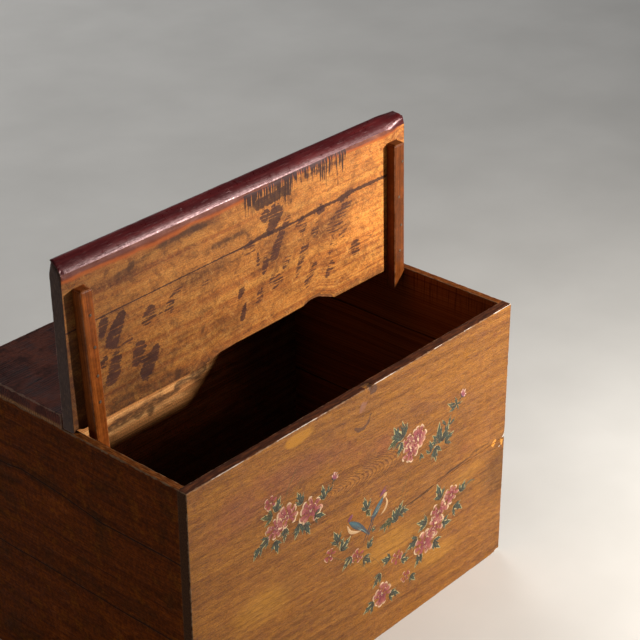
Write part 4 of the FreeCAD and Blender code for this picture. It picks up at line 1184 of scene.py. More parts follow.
    # faces that carry lacquer: nose, top, rear and ends
    lacq = np.maximum(sstep(n, 2.0, 4.0), 0.0)
    if front:
        nose = sstep(s, 291.0 + 25.0 * n / T_LID - 2.5, 291.0 + 25.0 * n / T_LID + 2.0)
        lacq = np.maximum(lacq, sstep(s, 289.5, 291.5))
        nose = np.maximum(nose, sstep(s, 289.5, 291.5))
        nose = nose * (1 - sstep(n, 26.5, 27.5) * 0.3)
    else:
        nose = np.zeros(len(x))
    endg = np.maximum(sstep(-x, 428.6, 429.5), sstep(x, 428.6, 429.5))
    chip = 0.0 * x
    if not front:
        w = lid_waney(x)
        chip = 1.1 * sstep(x, 132, 146) * sstep(x, 228, 214) * sstep(s - w, 12, 1)
        chip += 0.7 * sstep(x, -128, -90) * sstep(x, 140, 120) * sstep(s - w, 5, 0)
    clean = 1.0 * blob(x, s, 330, 110, 130, 110) + 0.5 * blob(x, s, 330, 250, 90, 50) + 0.5 * blob(x, s, -380, 30, 60, 40) \
        + 0.45 * blob(x, s, -60, 120, 90, 60) + 0.35 * blob(x, s, 100, 40, 140, 34) + 0.5 * blob(x, s, -390, 215, 50, 20) \
        + 0.35 * blob(x, s, -200, 215, 120, 16) + 0.3 * blob(x, s, 190, 230, 90, 14)
    return dict(clean=clean, soot=soot, hx=hx, hy=hy, smear=sm * under, combd=combd, combb=combb * under, comb=comb * under, bleed=bleed, stain=stain * under, mott=mott * under,
                nose=nose, lacq=lacq, endg=endg, chip=chip)


def lid_relief(front):
    def f(p, edge, worn):
        x, n = p[:, 0] - 430.0, p[:, 2]
        dent = np.zeros(len(x))
        if not front:
            m = sstep(x, 134, 146) * sstep(x, 226, 214) * sstep(p[:, 1], 14, 2)
            dent += m * 2.2 * fbm(x / 6.0, (p[:, 1] + n) / 4.0, 641, 4)
        return dent
    return f


def near_nose(r0, r1):
    return lambda p: r0 + (r1 - r0) * sstep(p[:, 1], 84, 107)


rear_low = (lambda p: 0.8 + 9.0 * sstep(np.abs(p[:, 0] - 430.0), 408, 414), 0.3)
board("lid_rear_board_finished", 860.0, 193.0, T_LID, place_lid_rear, (2.1, 2.1, 4.0),
      {"all": (1.6, 0.8), (2, 4): rear_low, (2, 5): (5.0, 0.8), (3, 4): (0.5, 0.0), (3, 5): (0.6, 0.2),
       (0, 3): tight, (1, 3): tight, (0, 4): (1.0, 0.2), (1, 4): (1.0, 0.2)},
      ["lid_rear_board"], "lid", MATS["lid"], 501, 0.6, lid_relief(False),
      lambda p, q: paint_lid(p, q, False), gc_off=(0, 0, 0))
board("lid_front_board_finished", 860.0, 110.0, T_LID, place_lid_front, (2.1, 2.1, 3.0),
      {"all": (1.8, 0.8), (2, 4): (0.5, 0.0), (2, 5): (0.6, 0.2), (0, 2): tight, (1, 2): tight,
       (3, 4): (14.0, 0.0), (3, 5): (5.0, 0.25), (0, 4): (near_nose(1.0, 6.0), 0.2), (1, 4): (near_nose(1.0, 9.0), 0.2),
       (0, 5): (near_nose(1.6, 10.0), 0.3), (1, 5): (near_nose(1.6, 9.0), 0.3), (0, 3): (8.0, 0.3), (1, 3): (11.0, 0.3)},
      ["lid_front_board"], "lid", MATS["lid"], 541, 0.5, lid_relief(True),
      lambda p, q: paint_lid(p, q, True), gc_off=(210, 330, 3))


# ---- battens with hook tails
def batten(name, front, rear, s_front, tail, seed):
    (xo, xi), (xor_, xir) = front, rear
    bw = abs(xi - xo)

    def place(a, b, c):
        t = b / bw
        end = tail[0] + (tail[1] - tail[0]) * t
        k = a / 300.0
        s = s_front - k * (s_front + end)
        f = (s_front - s) / (s_front + tail[1])
        x_out, x_in = xo + (xor_ - xo) * f, xi + (xir - xi) * f
        x = x_out + (x_in - x_out) * t
        n = -20.0 + c
        # thinner under the fixed top
        n = np.where(s < 5.0, np.minimum(n, -1.5), np.minimum(n, -0.05))
        return open_lid(x, s, n)

    def paint(p, xyz):
        st = np.zeros(len(p))
        if seed == 701:
            st += 0.9 * capsule(p[:, 0], p[:, 1], 26, 14, 42, 15, 2.0) * (p[:, 2] < 3)
        return dict(stain=st, tone=np.full(len(p), 1.0 if seed == 701 else 0.0))
    board(name + "_finished", 300.0, bw, 20.0, place, (2.4, 2.4, 3.0),
          {"all": (2.2, 1.0), (2, 4): (5.0, 1.0), (3, 4): (3.4, 1.0), (0, 4): (5.5, 1.0), (0, 2): (6.5, 1.0), (0, 3): (6.5, 1.0), (2, 5): (0.5, 0.2), (3, 5): (0.5, 0.2),
           (0, 5): (0.5, 0.2), (1, 5): (0.5, 0.2)},
          [name], "lid", MATS["batten"], seed, 0.35, None, paint, gc_off=(seed, 11, 0))


batten("left_lid_batten", (-409.0, -382.0), (-398.0, -369.5), 262.0, (18.0, 49.0), 701)
batten("right_lid_batten", (408.0, 377.0), (412.0, 381.0), 266.0, (4.0, 37.0), 741)


# ------------------------------------------------------------------ nails, pegs
def lathe_group(name, items, nodes, body, mat, seed=0):
    """items: (origin, axis, u, profile, wobble). profile is (radius, height) pairs from
    the closed foot to the closed head"""
    V, F = [], []
    for k, (o, ax, prof, wob) in enumerate(items):
        ax = np.array(ax, float) / np.linalg.norm(ax)
        ref = np.array([0, 0, 1.0]) if abs(ax[2]) < 0.9 else np.array([1.0, 0, 0])
        e1 = np.cross(ref, ax); e1 /= np.linalg.norm(e1)
        e2 = np.cross(ax, e1)
        o = np.array(o, float)
        m = 18
        base = len(V)
        V.append(o + ax * prof[0][1])
        th = np.arange(m) * 2 * np.pi / m
        for j, (r, h) in enumerate(prof[1:-1]):
            rad = r * (1 + wob * (vnoise(th * 1.1 + 5 * k, np.full(m, j * 0.3), seed + 7) - 0.5))
            for t, q in zip(th, rad):
                V.append(o + ax * h + (e1 * math.cos(t) + e2 * math.sin(t)) * q)
        V.append(o + ax * prof[-1][1])
        top = len(V) - 1
        rings = len(prof) - 2
        for i in range(m):
            i2 = (i + 1) % m
            F.append((base, base + 1 + i2, base + 1 + i))
            for j in range(rings - 1):
                q0 = base + 1 + j * m
                F.append((q0 + i, q0 + i2, q0 + m + i2, q0 + m + i))
            q0 = base + 1 + (rings - 1) * m
            F.append((q0 + i, q0 + i2, top))
    ob = mesh_object(name, np.array(V), F, None, True, mat)
    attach(ob, body)
    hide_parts(*nodes)
    return ob


NAILS = [(-391.5, 215.0), (-386.7, 154.0), (-385.5, 100.0), (-385.1, 50.3),
         (400.6, 227.8), (391.5, 157.0), (398.5, 96.0), (395.0, 42.0)]
items = []
o0 = np.array(open_lid(0.0, 0.0, 0.0))
down = np.array(open_lid(0.0, 0.0, -1.0)) - o0
for x, s in NAILS:
    items.append((open_lid(x, s, -20.0), down,
                  [(0, -30.0), (0.4, -29.0), (1.3, -26.0), (1.4, -3.0), (1.5, -0.25), (2.5, -0.2), (2.95, 0.1), (2.8, 0.5), (2.1, 0.78), (1.1, 0.86), (0, 0.88)], 0.14))
lathe_group("lid_batten_nails_finished", items, ["lid_batten_nails"], "lid", MATS["nail_iron"], 3)


def peg_prof(length, r=2.0):
    return [(0, 0.0), (r * 0.55, 0.1), (r * 0.8, 0.8), (r * 0.97, length * 0.35), (r * 0.99, length * 0.7),
            (r * 0.99, length - 0.7), (r * 0.86, length - 0.15), (r * 0.45, length), (0, length + 0.02)]


LV = (70, 190, 310, 385, 465, 530)
lathe_group("front_corner_pegs_finished", [((x, -222.0, z), (0, -1, 0), peg_prof(55.6), 0.16) for x in (-422, 422) for z in LV],
            ["front_corner_pegs"], "case", MATS["bamboo"], 11)
lathe_group("back_corner_pegs_finished", [((x, 230.0, z), (0, 1, 0), peg_prof(47.6), 0.16) for x in (-422, 422) for z in LV],
            ["back_corner_pegs"], "case", MATS["bamboo"], 13)
tp = [(x, y) for x in (-422, 422) for y in (50, 140, 225)] + [(x, 271) for x in (-310, -105, 105, 310)]
lathe_group("rear_top_pegs_finished", [((x, y, 534.0), (0, 0, 1), peg_prof(57.8), 0.16) for x, y in tp],
            ["rear_top_pegs"], "case", MATS["bamboo"], 17)

# ------------------------------------------------------------------ carried-over pieces inside the joints
for nm, mt in (("back_edge_pins", "bamboo"), ("front_edge_pins", "bamboo"), ("left_end_edge_pins", "bamboo"),
               ("right_end_edge_pins", "bamboo"), ("lid_edge_pins", "bamboo"), ("bottom_board_pegs", "bamboo"),
               ("bottom_cleat_nails", "nail_iron")):
    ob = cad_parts[nm]
    ob.data.materials.clear()
    ob.data.materials.append(MATS[mt])


# ------------------------------------------------------------------ painted sprays on the front
# Traditional peony sprays and a small bird, laid on as thin raised strokes of paint.
PAINT_Y0, PAINT_Y1 = -278.15, -278.62


def smooth_curve(pts, n):
    """points along a soft curve through the given points"""
    p = np.array(pts, float)
    if len(p) == 2:
        t = np.linspace(0, 1, n)[:, None]
        return p[0] * (1 - t) + p[1] * t
    q = np.vstack([2 * p[0] - p[1], p, 2 * p[-1] - p[-2]])
    seg = len(p) - 1
    out = []
    for t in np.linspace(0, seg - 1e-6, n):
        i = int(t)
        f = t - i
        a, b, c, d = q[i], q[i + 1], q[i + 2], q[i + 3]
        out.append(0.5 * (2 * b + (c - a) * f + (2 * a - 5 * b + 4 * c - d) * f * f
                          + (3 * b - a - 3 * c + d) * f ** 3))
    return np.array(out)


CROSS = np.array([-1.0, -0.82, -0.45, 0.0, 0.45, 0.82, 1.0])
LIFT = np.array([0.0, 0.62, 0.93, 1.0, 0.93, 0.62, 0.0])


class Strokes:
    """collects strokes of paint; each one is a closed, slightly domed ribbon"""

    def __init__(self, seed):
        self.V, self.F, self.C, self.E = [], [], [], []
        self.rng = np.random.default_rng(seed)
        self.count = 0

    def stroke(self, pts, width, core, rim=None, layer=0, n=12, shape="lens", wob=0.12):
        c = smooth_curve(pts, n)
        t = np.linspace(0, 1, n)
        if shape == "lens":
            w = np.sin(np.pi * np.clip(t * 0.94 + 0.03, 0, 1)) ** 0.8
        elif shape == "petal":
            w = np.interp(t, [0, 0.2, 0.5, 0.78, 0.92, 1.0], [0.22, 0.45, 0.8, 1.0, 0.78, 0.25])
        elif shape == "leaf":
            w = np.interp(t, [0, 0.12, 0.35, 0.6, 0.85, 1.0], [0.25, 0.72, 1.0, 0.80, 0.34, 0.05])
        else:
            w = np.interp(t, [0, 0.1, 0.6, 1.0], [0.5, 1.0, 0.9, 0.25])
        w = np.maximum(w, 0.08) * width * 0.5
        w = w * (1 + wob * 2 * (vnoise(t * 3.1, np.full(n, self.count * 0.73), 19) - 0.5))
        d = np.gradient(c, axis=0)
        d /= np.maximum(np.linalg.norm(d, axis=1, keepdims=True), 1e-6)
        nrm = np.stack([-d[:, 1], d[:, 0]], 1)
        top = PAINT_Y1 - 0.045 * min(layer, 7) - 0.010 * self.rng.random()
        core = np.array(core, float)
        ends = core if core.ndim == 2 else np.stack([core, core])
        rimc = ends if rim is None else np.broadcast_to(np.array(rim, float), (2, 3))
        base = len(self.V)
        m = len(CROSS)
        P = c[:, None, :] + nrm[:, None, :] * (CROSS[None, :, None] * w[:, None, None])
        Y = np.broadcast_to(PAINT_Y0 + (top - PAINT_Y0) * LIFT, (n, m))
        self.V.extend(np.stack([P[..., 0], Y, P[..., 1]], -1).reshape(-1, 3).tolist())
        tt, cc = np.broadcast_to(t[:, None], (n, m)), np.broadcast_to(CROSS[None, :], (n, m))
        f = (np.abs(cc) ** 2.2 if rim is not None else np.zeros((n, m)))[..., None]
        pos = tt * (len(ends) - 1)
        lo = np.minimum(pos.astype(int), len(ends) - 2)
        fr = (pos - lo)[..., None]
        col = ends[lo] * (1 - fr) + ends[lo + 1] * fr
        rc = rimc[0] * (1 - tt[..., None]) + rimc[1] * tt[..., None]
        # dry brush: tone varies along and across the stroke
        tone = 0.84 + 0.32 * vnoise(cc * 2.5 + 9 * self.count, tt * 1.3, 23)[..., None]
        self.C.extend(((col * (1 - f) + rc * f) * tone).reshape(-1, 3).tolist())
        self.E.extend(tt.ravel().tolist())
        for i in range(n - 1):
            a, b = base + i * m, base + (i + 1) * m
            for k in range(m - 1):
                self.F.append((a + k, a + k + 1, b + k + 1, b + k))
            self.F.append((a + m - 1, a, b, b + m - 1))
        self.F.append(tuple(base + k for k in range(m - 1, -1, -1)))
        e = base + (n - 1) * m
        self.F.append(tuple(e + k for k in range(m)))
        self.count += 1

    def build(self, name):
        V = np.array(self.V)
        upper = V[:, 2] > z_front_joint(V[:, 0])
        gc = np.where(upper[:, None], np.stack([V[:, 0] + 430, V[:, 2] - 267, np.full(len(V), 20.65)], 1),
                      np.stack([V[:, 0] + 861, V[:, 2] + 163, np.full(len(V), 22.65)], 1))
        # outward faces: the dome looks to the front
        F = [f[::-1] for f in self.F] if self.flip() else self.F
        ob = mesh_object(name, V, F, {"gc": gc * 0.001, "c_paint": np.array(self.C), "along": np.array(self.E)},
                         True, MATS["paint"])
        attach(ob, "case")
        return ob

    def flip(self):
        V = np.array(self.V)
        s = 0.0
        for f in self.F[:len(CROSS) * 11]:
            a, b, c = V[f[0]], V[f[1]], V[f[2]]
            s += np.dot(a - V[0], np.cross(b - V[0], c - V[0]))
            if len(f) > 3:
                s += np.dot(V[f[0]] - V[0], np.cross(V[f[2]] - V[0], V[f[3]] - V[0]))
        return s < 0

    # ---- motifs
    def fan(self, cx, cz, ang, r0, r1, width, core, rim, layer, bend=0.0):
        a = math.radians(ang)
        d = np.array([math.cos(a) * 1.16, math.sin(a) * 0.92])
        q = np.array([-d[1], d[0]])
        c = np.array([cx, cz])
        self.stroke([c + d * r0, c + d * (r0 + r1) / 2 + q * bend, c + d * r1], width, core, rim, layer, 10, "petal", 0.2)

    def dab(self, cx, cz, ang, length, width, core, layer, shape="petal", bend=0.0):
        a = math.radians(ang)
        d, q = np.array([math.cos(a), math.sin(a)]), np.array([-math.sin(a), math.cos(a)])
        c = np.array([cx, cz])
        self.stroke([c - d * length / 2, c + q * bend, c + d * length / 2], width, core, None, layer, 9, shape, 0.35)

    def rim_arc(self, cx, cz, ang, r, span, width, col, layer):
        """a short bowed stroke round the outside of a petal"""
        pts = []
        for o in (-1.0, -0.5, 0.0, 0.5, 1.0):
            a = math.radians(ang + o * span)
            pts.append((cx + r * math.cos(a), cz + r * math.sin(a)))
        self.stroke(pts, width, col, None, layer, 11, "lens", 0.4)

    def peony(self, cx, cz, r, turn=0.0, sx=1.10, sz=0.92):
        """a full bloom: rosy lobes with pale scalloped rims, wine-red folds"""
        R = self.rng
        r = r * 1.16
        pale, rosy, light, wine = lin(236, 204, 164), lin(154, 68, 78), lin(212, 146, 122), lin(98, 30, 50)
        n = 9
        for k in range(n):
            ang = turn + 360.0 / n * k + R.uniform(-14, 14)
            a = math.radians(ang)
            rr = r * R.uniform(0.50, 0.68)
            x, z = cx + rr * math.cos(a) * sx, cz + rr * math.sin(a) * sz
            w = r * R.uniform(0.42, 0.56)
            t = R.uniform(0.0, 0.75)
            body = light * t + rosy * (1 - t)
            self.dab(x, z, ang + R.uniform(-22, 22), w * 1.45, w * 1.2, np.stack([rosy * 0.85, rosy, body, light * 0.6 + pale * 0.4]), 1)
            if R.random() < 0.92:
                self.rim_arc(x, z, ang + R.uniform(-18, 18), w * 0.56, R.uniform(34, 66), w * 0.32, pale * R.uniform(0.70, 1.02), 3)
            self.rim_arc(x, z, ang + R.uniform(-40, 40), w * 0.30, R.uniform(30, 60), w * 0.15, rosy * 0.55, 3)
        for k in range(5):
            ang = turn + 72 * k + 20 + R.uniform(-20, 20)
            a = math.radians(ang)
            rr = r * R.uniform(0.16, 0.34)
            x, z = cx + rr * math.cos(a) * sx, cz + rr * math.sin(a) * sz
            w = r * R.uniform(0.32, 0.44)
            self.dab(x, z, ang + R.uniform(-30, 30), w * 1.3, w, np.stack([wine * 1.5, rosy]), 4)
            if R.random() < 0.75:
                self.rim_arc(x, z, ang + R.uniform(-25, 25), w * 0.52, R.uniform(34, 62), w * 0.20, pale * 0.55 + light * 0.45, 5)
        for k in range(8):
            a = R.uniform(0, 2 * math.pi)
            rr = r * R.uniform(0.05, 0.70)
            self.dab(cx + rr * math.cos(a) * sx, cz + rr * math.sin(a) * sz, math.degrees(a) + R.uniform(-40, 40),
                     r * R.uniform(0.16, 0.32), r * 0.075, wine * R.uniform(0.9, 1.4), 6, "lens")
        for k in range(5):
            a = R.uniform(0, 2 * math.pi)
            rr = r * R.uniform(0.0, 0.22)
            self.dab(cx + rr * math.cos(a), cz + rr * math.sin(a), R.uniform(30, 100), r * R.uniform(0.10, 0.2), r * 0.07, pale, 7, "lens")

    def small_bloom(self, cx, cz, r, turn=0.0, mauve=False):
        R = self.rng
        pale = lin(232, 196, 162)
        mid, deep = (lin(134, 74, 98), lin(92, 40, 66)) if mauve else (lin(176, 74, 84), lin(116, 32, 50))
        for k in range(6):
            ang = turn + 60 * k + R.uniform(-14, 14)
            a = math.radians(ang)
            x, z = cx + r * 0.52 * math.cos(a) * 1.1, cz + r * 0.52 * math.sin(a) * 0.92
            w = r * R.uniform(0.50, 0.64)
            self.dab(x, z, ang + R.uniform(-20, 20), w * 1.3, w, np.stack([deep, mid]), 1)
            if R.random() < 0.85:
                self.rim_arc(x, z, ang + R.uniform(-18, 18), w * 0.55, R.uniform(45, 75), w * 0.24, pale * R.uniform(0.8, 1.0), 3)
        for k in range(4):
            self.dab(cx + R.uniform(-0.2, 0.2) * r, cz + R.uniform(-0.2, 0.2) * r, R.uniform(0, 180), r * 0.4, r * 0.16, deep, 4, "lens")
        for k in range(3):
            self.dab(cx + R.uniform(-0.15, 0.15) * r, cz + R.uniform(-0.15, 0.15) * r, R.uniform(0, 180), r * 0.2, r * 0.09, pale, 5, "lens")

    def bud(self, cx, cz, r, ang):
        """splayed narrow petals, violet at the foot and pale at the tips"""
        R = self.rng
        foot, mid, tip = lin(112, 54, 86), lin(184, 96, 110), lin(236, 204, 184)
        a = math.radians(ang)
        c = np.array([cx, cz]) - r * 0.5 * np.array([math.cos(a), math.sin(a)])
        for off in (-52, 50, -30, 28, -8, 10):
            b = math.radians(ang + off + R.uniform(-6, 6))
            e = np.array([math.cos(b), math.sin(b)])
            ln = r * R.uniform(1.15, 1.55) * (1.0 - abs(off) / 160.0)
            self.stroke([c, c + e * ln * 0.5, c + e * ln], r * 0.42, np.stack([foot, mid]), None, 2, 10, "petal", 0.3)
            self.stroke([c + e * ln * 0.62, c + e * ln * 1.04], r * 0.26, tip, None, 3, 8, "petal", 0.3)
        for off in (-60, 60, 180):
            b = math.radians(ang + off)
            e = np.array([math.cos(b), math.sin(b)])
            self.stroke([c, c + e * r * 0.7], r * 0.30, lin(24, 60, 52), None, 4, 8, "leaf")

    def leaf(self, cx, cz, ang, size, lobes=3, spread=42, cool=True):
        """pointed lobes from one foot, dark with a pale edge"""
        R = self.rng
        dark = lin(7, 30, 32) if cool else lin(18, 38, 24)
        mid = lin(28, 74, 68) if cool else lin(54, 78, 46)
        size = size * 1.28
        pale = lin(184, 174, 122)
        a = math.radians(ang)
        foot = np.array([cx, cz]) - np.array([math.cos(a), math.sin(a)]) * size * 0.45
        offs = np.linspace(-spread, spread, lobes) if lobes > 1 else [0.0]
        order = sorted(range(len(offs)), key=lambda i: -abs(offs[i]))
        for j, i in enumerate(order):
            off = offs[i] + R.uniform(-7, 7)
            b = math.radians(ang + off)
            ln = size * (1.05 - 0.32 * abs(offs[i]) / max(spread, 1)) * R.uniform(0.92, 1.08)
            e = np.array([math.cos(b), math.sin(b)])
            q = np.array([-e[1], e[0]]) * ln * 0.10 * R.uniform(-1, 1)
            path = [foot, foot + e * ln * 0.5 + q, foot + e * ln]
            path2 = [foot + e * ln * 0.04, foot + e * ln * 0.5 + q, foot + e * ln * 0.93]
            ly = 0 + min(j, 2)
            self.stroke(path, ln * 0.58, pale, None, ly, 12, "leaf", 0.3)
            self.stroke(path2, ln * 0.44, np.stack([dark, mid]), dark, ly + 2, 12, "leaf", 0.2)
            self.stroke([foot + e * ln * 0.12, foot + e * ln * 0.5 + q, foot + e * ln * 0.84], 0.8, lin(120, 140, 104), None, ly + 4, 10)
            # notch tips along the lobe
            for sgn in (-1, 1):
                b2 = b + sgn * 0.62
                e2 = np.array([math.cos(b2), math.sin(b2)])
                m0 = foot + e * ln * R.uniform(0.34, 0.5) + q * 0.6
                self.stroke([m0, m0 + e2 * ln * R.uniform(0.30, 0.38)], ln * 0.17, mid * 0.8, None, ly + 3, 8, "leaf", 0.3)

    def stem(self, pts, width=1.5, col=None):
        self.stroke(pts, width, lin(92, 84, 40) if col is None else col, None, 1, 22, "stem", 0.35)


def lin(r, g, b):
    return np.array(srgb(r, g, b)[:3])


def mat_paint():
    M = Mat("painted_strokes")
    gc = M.attr("gc", "Vector")
    col, v, h, late = wood(M, gc, FRONT_STOPS, **FRONT_WOOD)
    ob = M.obj()
    paint = M.attr("c_paint", "Color")
    x, y, z = M.sep(gc)
    # worn along the grain, and dulled by old varnish
    w1 = M.noise(M.comb(M.mul(x, 60.0), M.mul(y, 360.0), 2.0), 1.0, 4.0, 0.6)
    w2 = M.noise(ob, 95.0, 4.0, 0.6)
    w3 = M.noise(ob, 420.0, 3.0, 0.6)
    wear = M.add(M.mul(w1, 0.40), M.add(M.mul(w2, 0.35), M.mul(w3, 0.25)))
    keep = M.smooth(wear, 0.66, 0.53)
    dull = M.mix(0.06, paint, srgb(168, 104, 50))
    dull = M.scale_col(dull, M.line(w3, 0.3, 0.7, 0.80, 1.16))
    col = M.mix(M.mul(keep, 0.95), col, dull)
    finish_mat(M, "paint", col, M.line(w2, 0.3, 0.7, 0.42, 0.60), M.add(M.mul(w3, 0.8), h), 0.0003, spec=0.35)


mat_paint()

g = Strokes(7101)
g.stem([(140, 366), (170, 352), (204, 352), (232, 372), (252, 396), (268, 412), (286, 428)])
g.stem([(224, 371), (238, 352), (246, 340)], 1.2)
g.stem([(138, 380), (116, 396), (98, 428)], 1.2)
g.peony(156, 398, 24, 10)
g.peony(136, 377, 23, 40)
g.peony(128, 400, 15, 70)
g.bud(289, 430, 13, 40)
g.leaf(258, 420, 150, 24); g.leaf(279, 411, -30, 20, 2, 30); g.leaf(256, 391, 60, 22, 2, 24)
g.leaf(236, 392, 120, 16, 1); g.leaf(224, 374, 95, 34, 5, 70); g.leaf(214, 366, 190, 22, 3, 40)
g.leaf(250, 352, 20, 24, 3, 44); g.leaf(193, 357, 100, 22, 3, 40); g.leaf(212, 337, -80, 27, 3, 38)
g.leaf(168, 346, -80, 20, 2, 26); g.leaf(102, 430, 120, 32, 5, 55); g.leaf(84, 418, 200, 22, 3, 44, False)
g.leaf(103, 398, 240, 22, 3, 36)
g.build("painted_spray_upper_right")

g = Strokes(7207)
g.stem([(-157, 468), (-170, 452), (-190, 438), (-202, 428)], 1.5)
g.stem([(-76, 418), (-88, 410), (-106, 402), (-128, 392)], 1.4)
g.stem([(-210, 380), (-232, 366), (-256, 372), (-270, 372)], 1.3)
g.peony(-137, 386, 27, 0)
g.peony(-198, 406, 25, 25)
g.peony(-228, 394, 21, 55)
g.small_bloom(-238, 452, 17, 10)
g.bud(-75, 424, 13, 60)
g.leaf(-88, 410, 60, 18, 2, 24); g.leaf(-104, 404, 100, 22, 3, 36); g.leaf(-163, 424, 110, 24, 3, 34)
g.leaf(-219, 438, 60, 22, 3, 40); g.leaf(-116, 364, -20, 24, 3, 44); g.leaf(-150, 354, -70, 24, 3, 36)
g.leaf(-172, 362, -110, 24, 3, 36); g.leaf(-204, 370, -100, 22, 3, 40); g.leaf(-226, 358, -80, 22, 3, 40)
g.leaf(-247, 426, 160, 24, 3, 46, False); g.leaf(-257, 380, 200, 24, 3, 40); g.leaf(-271, 366, 230, 22, 3, 34)
g.stem([(-203, 438), (-192, 462), (-178, 482), (-166, 498)], 1.7, lin(70, 84, 40))
g.build("painted_spray_left")

g = Strokes(7303)
teal, deep_teal, slate, cream = lin(52, 104, 116), lin(20, 48, 58), lin(54, 60, 72), lin(224, 184, 138)
violet = lin(112, 54, 84)
g.stem([(115, 276), (122, 288), (136, 297), (150, 302)], 1.3)
g.stem([(16, 262), (50, 254), (84, 258), (110, 268)], 1.3)
# long tail, body, breast, wing and head of the bird
g.stroke([(32, 286), (21, 269), (12, 256), (3, 240)], 6.0, np.stack([slate, deep_teal]), None, 2, 14, "leaf")
g.stroke([(36, 287), (27, 268), (19, 254), (11, 238)], 4.0, np.stack([deep_teal, slate]), None, 3, 14, "leaf")
g.stroke([(52, 279), (64, 286), (70, 298), (66, 311)], 8.0, np.stack([cream * 0.8, cream]), None, 2, 16, "lens")
g.stroke([(24, 278), (34, 289), (47, 302), (60, 316)], 19.0, np.stack([slate, teal]), deep_teal, 3, 18, "lens")
g.stroke([(34, 292), (44, 303), (56, 314)], 9.0, np.stack([teal, teal * 1.25]), None, 4, 14, "lens")
for k in range(6):
    g.stroke([(57 - 2.2 * k, 306 - 2.4 * k), (46 - 2.4 * k, 297 - 1.4 * k), (34 - 2.8 * k, 283 + 1.2 * k)], 2.2,
             lin(120, 156, 150) if k % 2 else deep_teal, None, 5 + k % 2, 10, "leaf")
g.stroke([(58, 312), (64, 317), (68, 321)], 10.0, cream, None, 4, 12, "lens")
g.stroke([(48, 320), (57, 325), (67, 326)], 9.0, np.stack([violet, violet * 1.4]), None, 6, 12, "lens")
g.stroke([(52, 325), (60, 331), (68, 335)], 4.5, violet, None, 6, 10, "leaf")
g.stroke([(67, 323), (73, 322)], 2.2, lin(70, 50, 40), None, 6, 8, "leaf")
g.stroke([(61.4, 323.0), (63.6, 323.3)], 1.8, lin(20, 16, 18), None, 7, 6)
g.stroke([(44, 281), (46, 272)], 1.3, lin(88, 56, 44), None, 3, 6); g.stroke([(39, 279), (39, 270)], 1.3, lin(88, 56, 44), None, 3, 6)
# a second, smaller bird looking back over its wing
g.stroke([(-41, 303), (-33, 286), (-18, 277), (-2, 273)], 10.0, np.stack([cream, cream * 0.85]), None, 2, 16, "lens")
g.stroke([(-36, 308), (-20, 294), (-2, 278), (22, 252)], 19.0, np.stack([teal, slate]), deep_teal, 3, 18, "lens")
g.stroke([(-30, 302), (-17, 294), (-4, 281)], 9.0, np.stack([teal * 1.2, teal]), None, 4, 12, "lens")
g.stroke([(-12, 282), (4, 270), (18, 252)], 3.0, lin(120, 156, 150), None, 5, 10, "leaf")
g.stroke([(-40, 310), (-33, 315), (-26, 320)], 9.5, np.stack([violet, violet * 1.3]), None, 6, 12, "lens")
g.stroke([(-41, 309), (-46, 306)], 2.0, lin(70, 50, 40), None, 6, 8, "leaf")
g.stroke([(-36.6, 312.6), (-34.6, 313.4)], 1.7, lin(20, 16, 18), None, 7, 6)
g.leaf(10, 324, 110, 26, 3, 40); g.leaf(17, 301, -60, 17, 3, 34, False)
g.leaf(33, 258, -30, 11, 3, 36)
g.leaf(107, 262, 60, 26, 3, 36); g.leaf(94, 254, 120, 24, 3, 36); g.leaf(74, 249, 200, 24, 3, 34, False); g.leaf(58, 243, 225, 22, 2, 26)
g.leaf(118, 252, -20, 20, 3, 36)
g.stem([(-31, 300), (-14, 284), (10, 268), (28, 256)], 1.5)
g.stem([(104, 268), (112, 292), (124, 316), (140, 334)], 1.8, lin(74, 86, 44))
g.build("painted_bird")

g = Strokes(7409)
g.stem([(-84, 262), (-70, 276), (-62, 288)], 1.3)
g.stem([(-88, 262), (-60, 240), (-20, 214), (16, 176), (44, 128)], 1.7)
g.stem([(-12, 220), (30, 196), (62, 150), (70, 104)], 1.5)
g.leaf(-71, 292, 110, 27, 3, 38); g.leaf(-46, 266, 30, 26, 3, 40); g.leaf(-60, 274, -60, 18, 2, 30, False)
g.small_bloom(-88, 264, 17, 0); g.small_bloom(-12, 222, 19, 25); g.small_bloom(102, 158, 18, 12)
g.leaf(-40, 222, 220, 24, 3, 40); g.leaf(14, 198, -40, 24, 3, 40); g.leaf(24, 232, 50, 20, 3, 36)
g.leaf(70, 170, 160, 24, 3, 40); g.leaf(126, 142, -20, 22, 3, 40); g.leaf(44, 138, 220, 24, 3, 44)
g.peony(60, 96, 24, 15); g.leaf(92, 76, -30, 24, 3, 40); g.leaf(24, 84, 200, 24, 3, 40)
g.build("painted_spray_bottom")

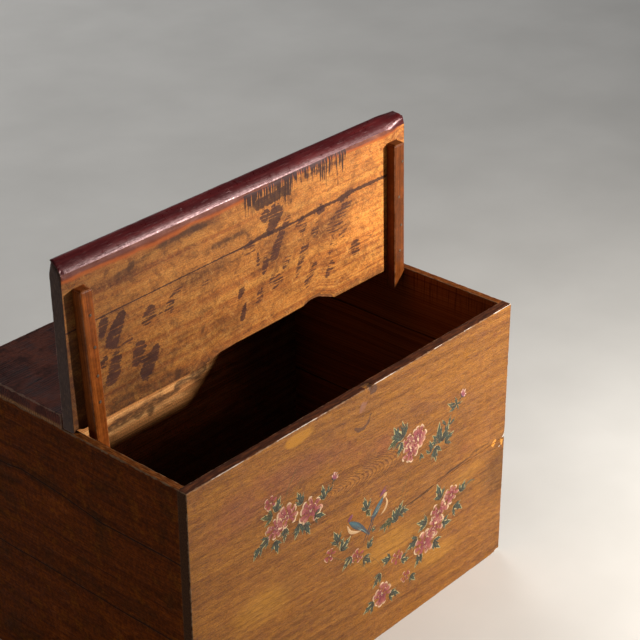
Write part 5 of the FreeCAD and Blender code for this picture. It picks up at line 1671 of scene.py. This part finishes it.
g = Strokes(7507)
g.stem([(336, 214), (316, 217), (298, 217), (270, 206), (246, 186), (222, 160), (196, 130), (160, 104), (110, 84)], 1.6)
g.stroke([(306, 214), (322, 220), (340, 215)], 5.4, lin(44, 66, 60), lin(146, 146, 104), 3, 12, "leaf")
g.leaf(298, 220, 60, 22, 3, 34); g.leaf(226, 240, 110, 30, 3, 40)
g.peony(262, 218, 21, 0); g.peony(226, 196, 24, 30)
g.leaf(284, 178, -30, 26, 3, 44); g.leaf(250, 162, -20, 24, 3, 40); g.leaf(176, 197, 150, 28, 3, 40)
g.peony(214, 168, 24, 10); g.peony(184, 146, 28, 35)
g.leaf(222, 126, -50, 26, 3, 40); g.leaf(148, 166, 190, 26, 3, 44); g.leaf(168, 116, 230, 24, 3, 40)
g.small_bloom(128, 100, 15, 0); g.leaf(150, 84, -60, 20, 3, 36)
g.build("painted_spray_lower_right")

# ------------------------------------------------------------------ floor and lights
def floor():
    M = Mat("pale_floor")
    f = M.noise(M.obj(), 3.0, 4.0, 0.5)
    col = M.ramp(f, [(0.3, srgb(218, 216, 212)), (0.7, srgb(228, 226, 222))])
    finish_mat(M, "floor", col, 0.75, f, 0.0002, spec=0.2)
    n = 24
    xs = np.linspace(-9000, 14000, n)
    ys = np.linspace(-9000, 14000, n)
    X, Y = np.meshgrid(xs, ys, indexing="ij")
    V = np.stack([X.ravel(), Y.ravel(), np.zeros(n * n)], 1)
    g = np.arange(n * n).reshape(n, n)
    F = np.stack([g[:-1, :-1].ravel(), g[1:, :-1].ravel(), g[1:, 1:].ravel(), g[:-1, 1:].ravel()], 1)
    ob = mesh_object("floor", V, F, None, False, MATS["floor"])


def area(name, loc, target, size, power, colour):
    ld = bpy.data.lights.new(name, "AREA")
    ld.shape = "DISK"
    ld.size = size
    ld.energy = power
    ld.color = colour
    ob = bpy.data.objects.new(name, ld)
    bpy.context.scene.collection.objects.link(ob)
    ob.location = loc
    ob.rotation_mode = "QUATERNION"
    ob.rotation_quaternion = (Vector(loc) - Vector(target)).to_track_quat("Z", "Y")


floor()
area("key", (1.19, -1.52, 1.195), (0.0, 0.0, 0.5), 0.13, 50.0, (1.0, 0.95, 0.88))
area("back", (3.2, 4.2, 6.0), (2.6, 3.4, 0.0), 3.2, 110.0, (1.0, 1.0, 1.0))
area("far", (-3.0, 6.5, 4.6), (-3.0, 7.2, 0.0), 3.6, 300.0, (1.0, 1.0, 1.0))
area("side", (-3.6, 0.5, 0.42), (-0.43, 0.0, 0.28), 1.1, 6.2, (1.0, 0.97, 0.93))
world = bpy.data.worlds.new("soft_studio")
world.use_nodes = True
world.node_tree.nodes["Background"].inputs[0].default_value = (0.95, 0.97, 1.0, 1.0)
world.node_tree.nodes["Background"].inputs[1].default_value = 0.05
bpy.context.scene.world = world
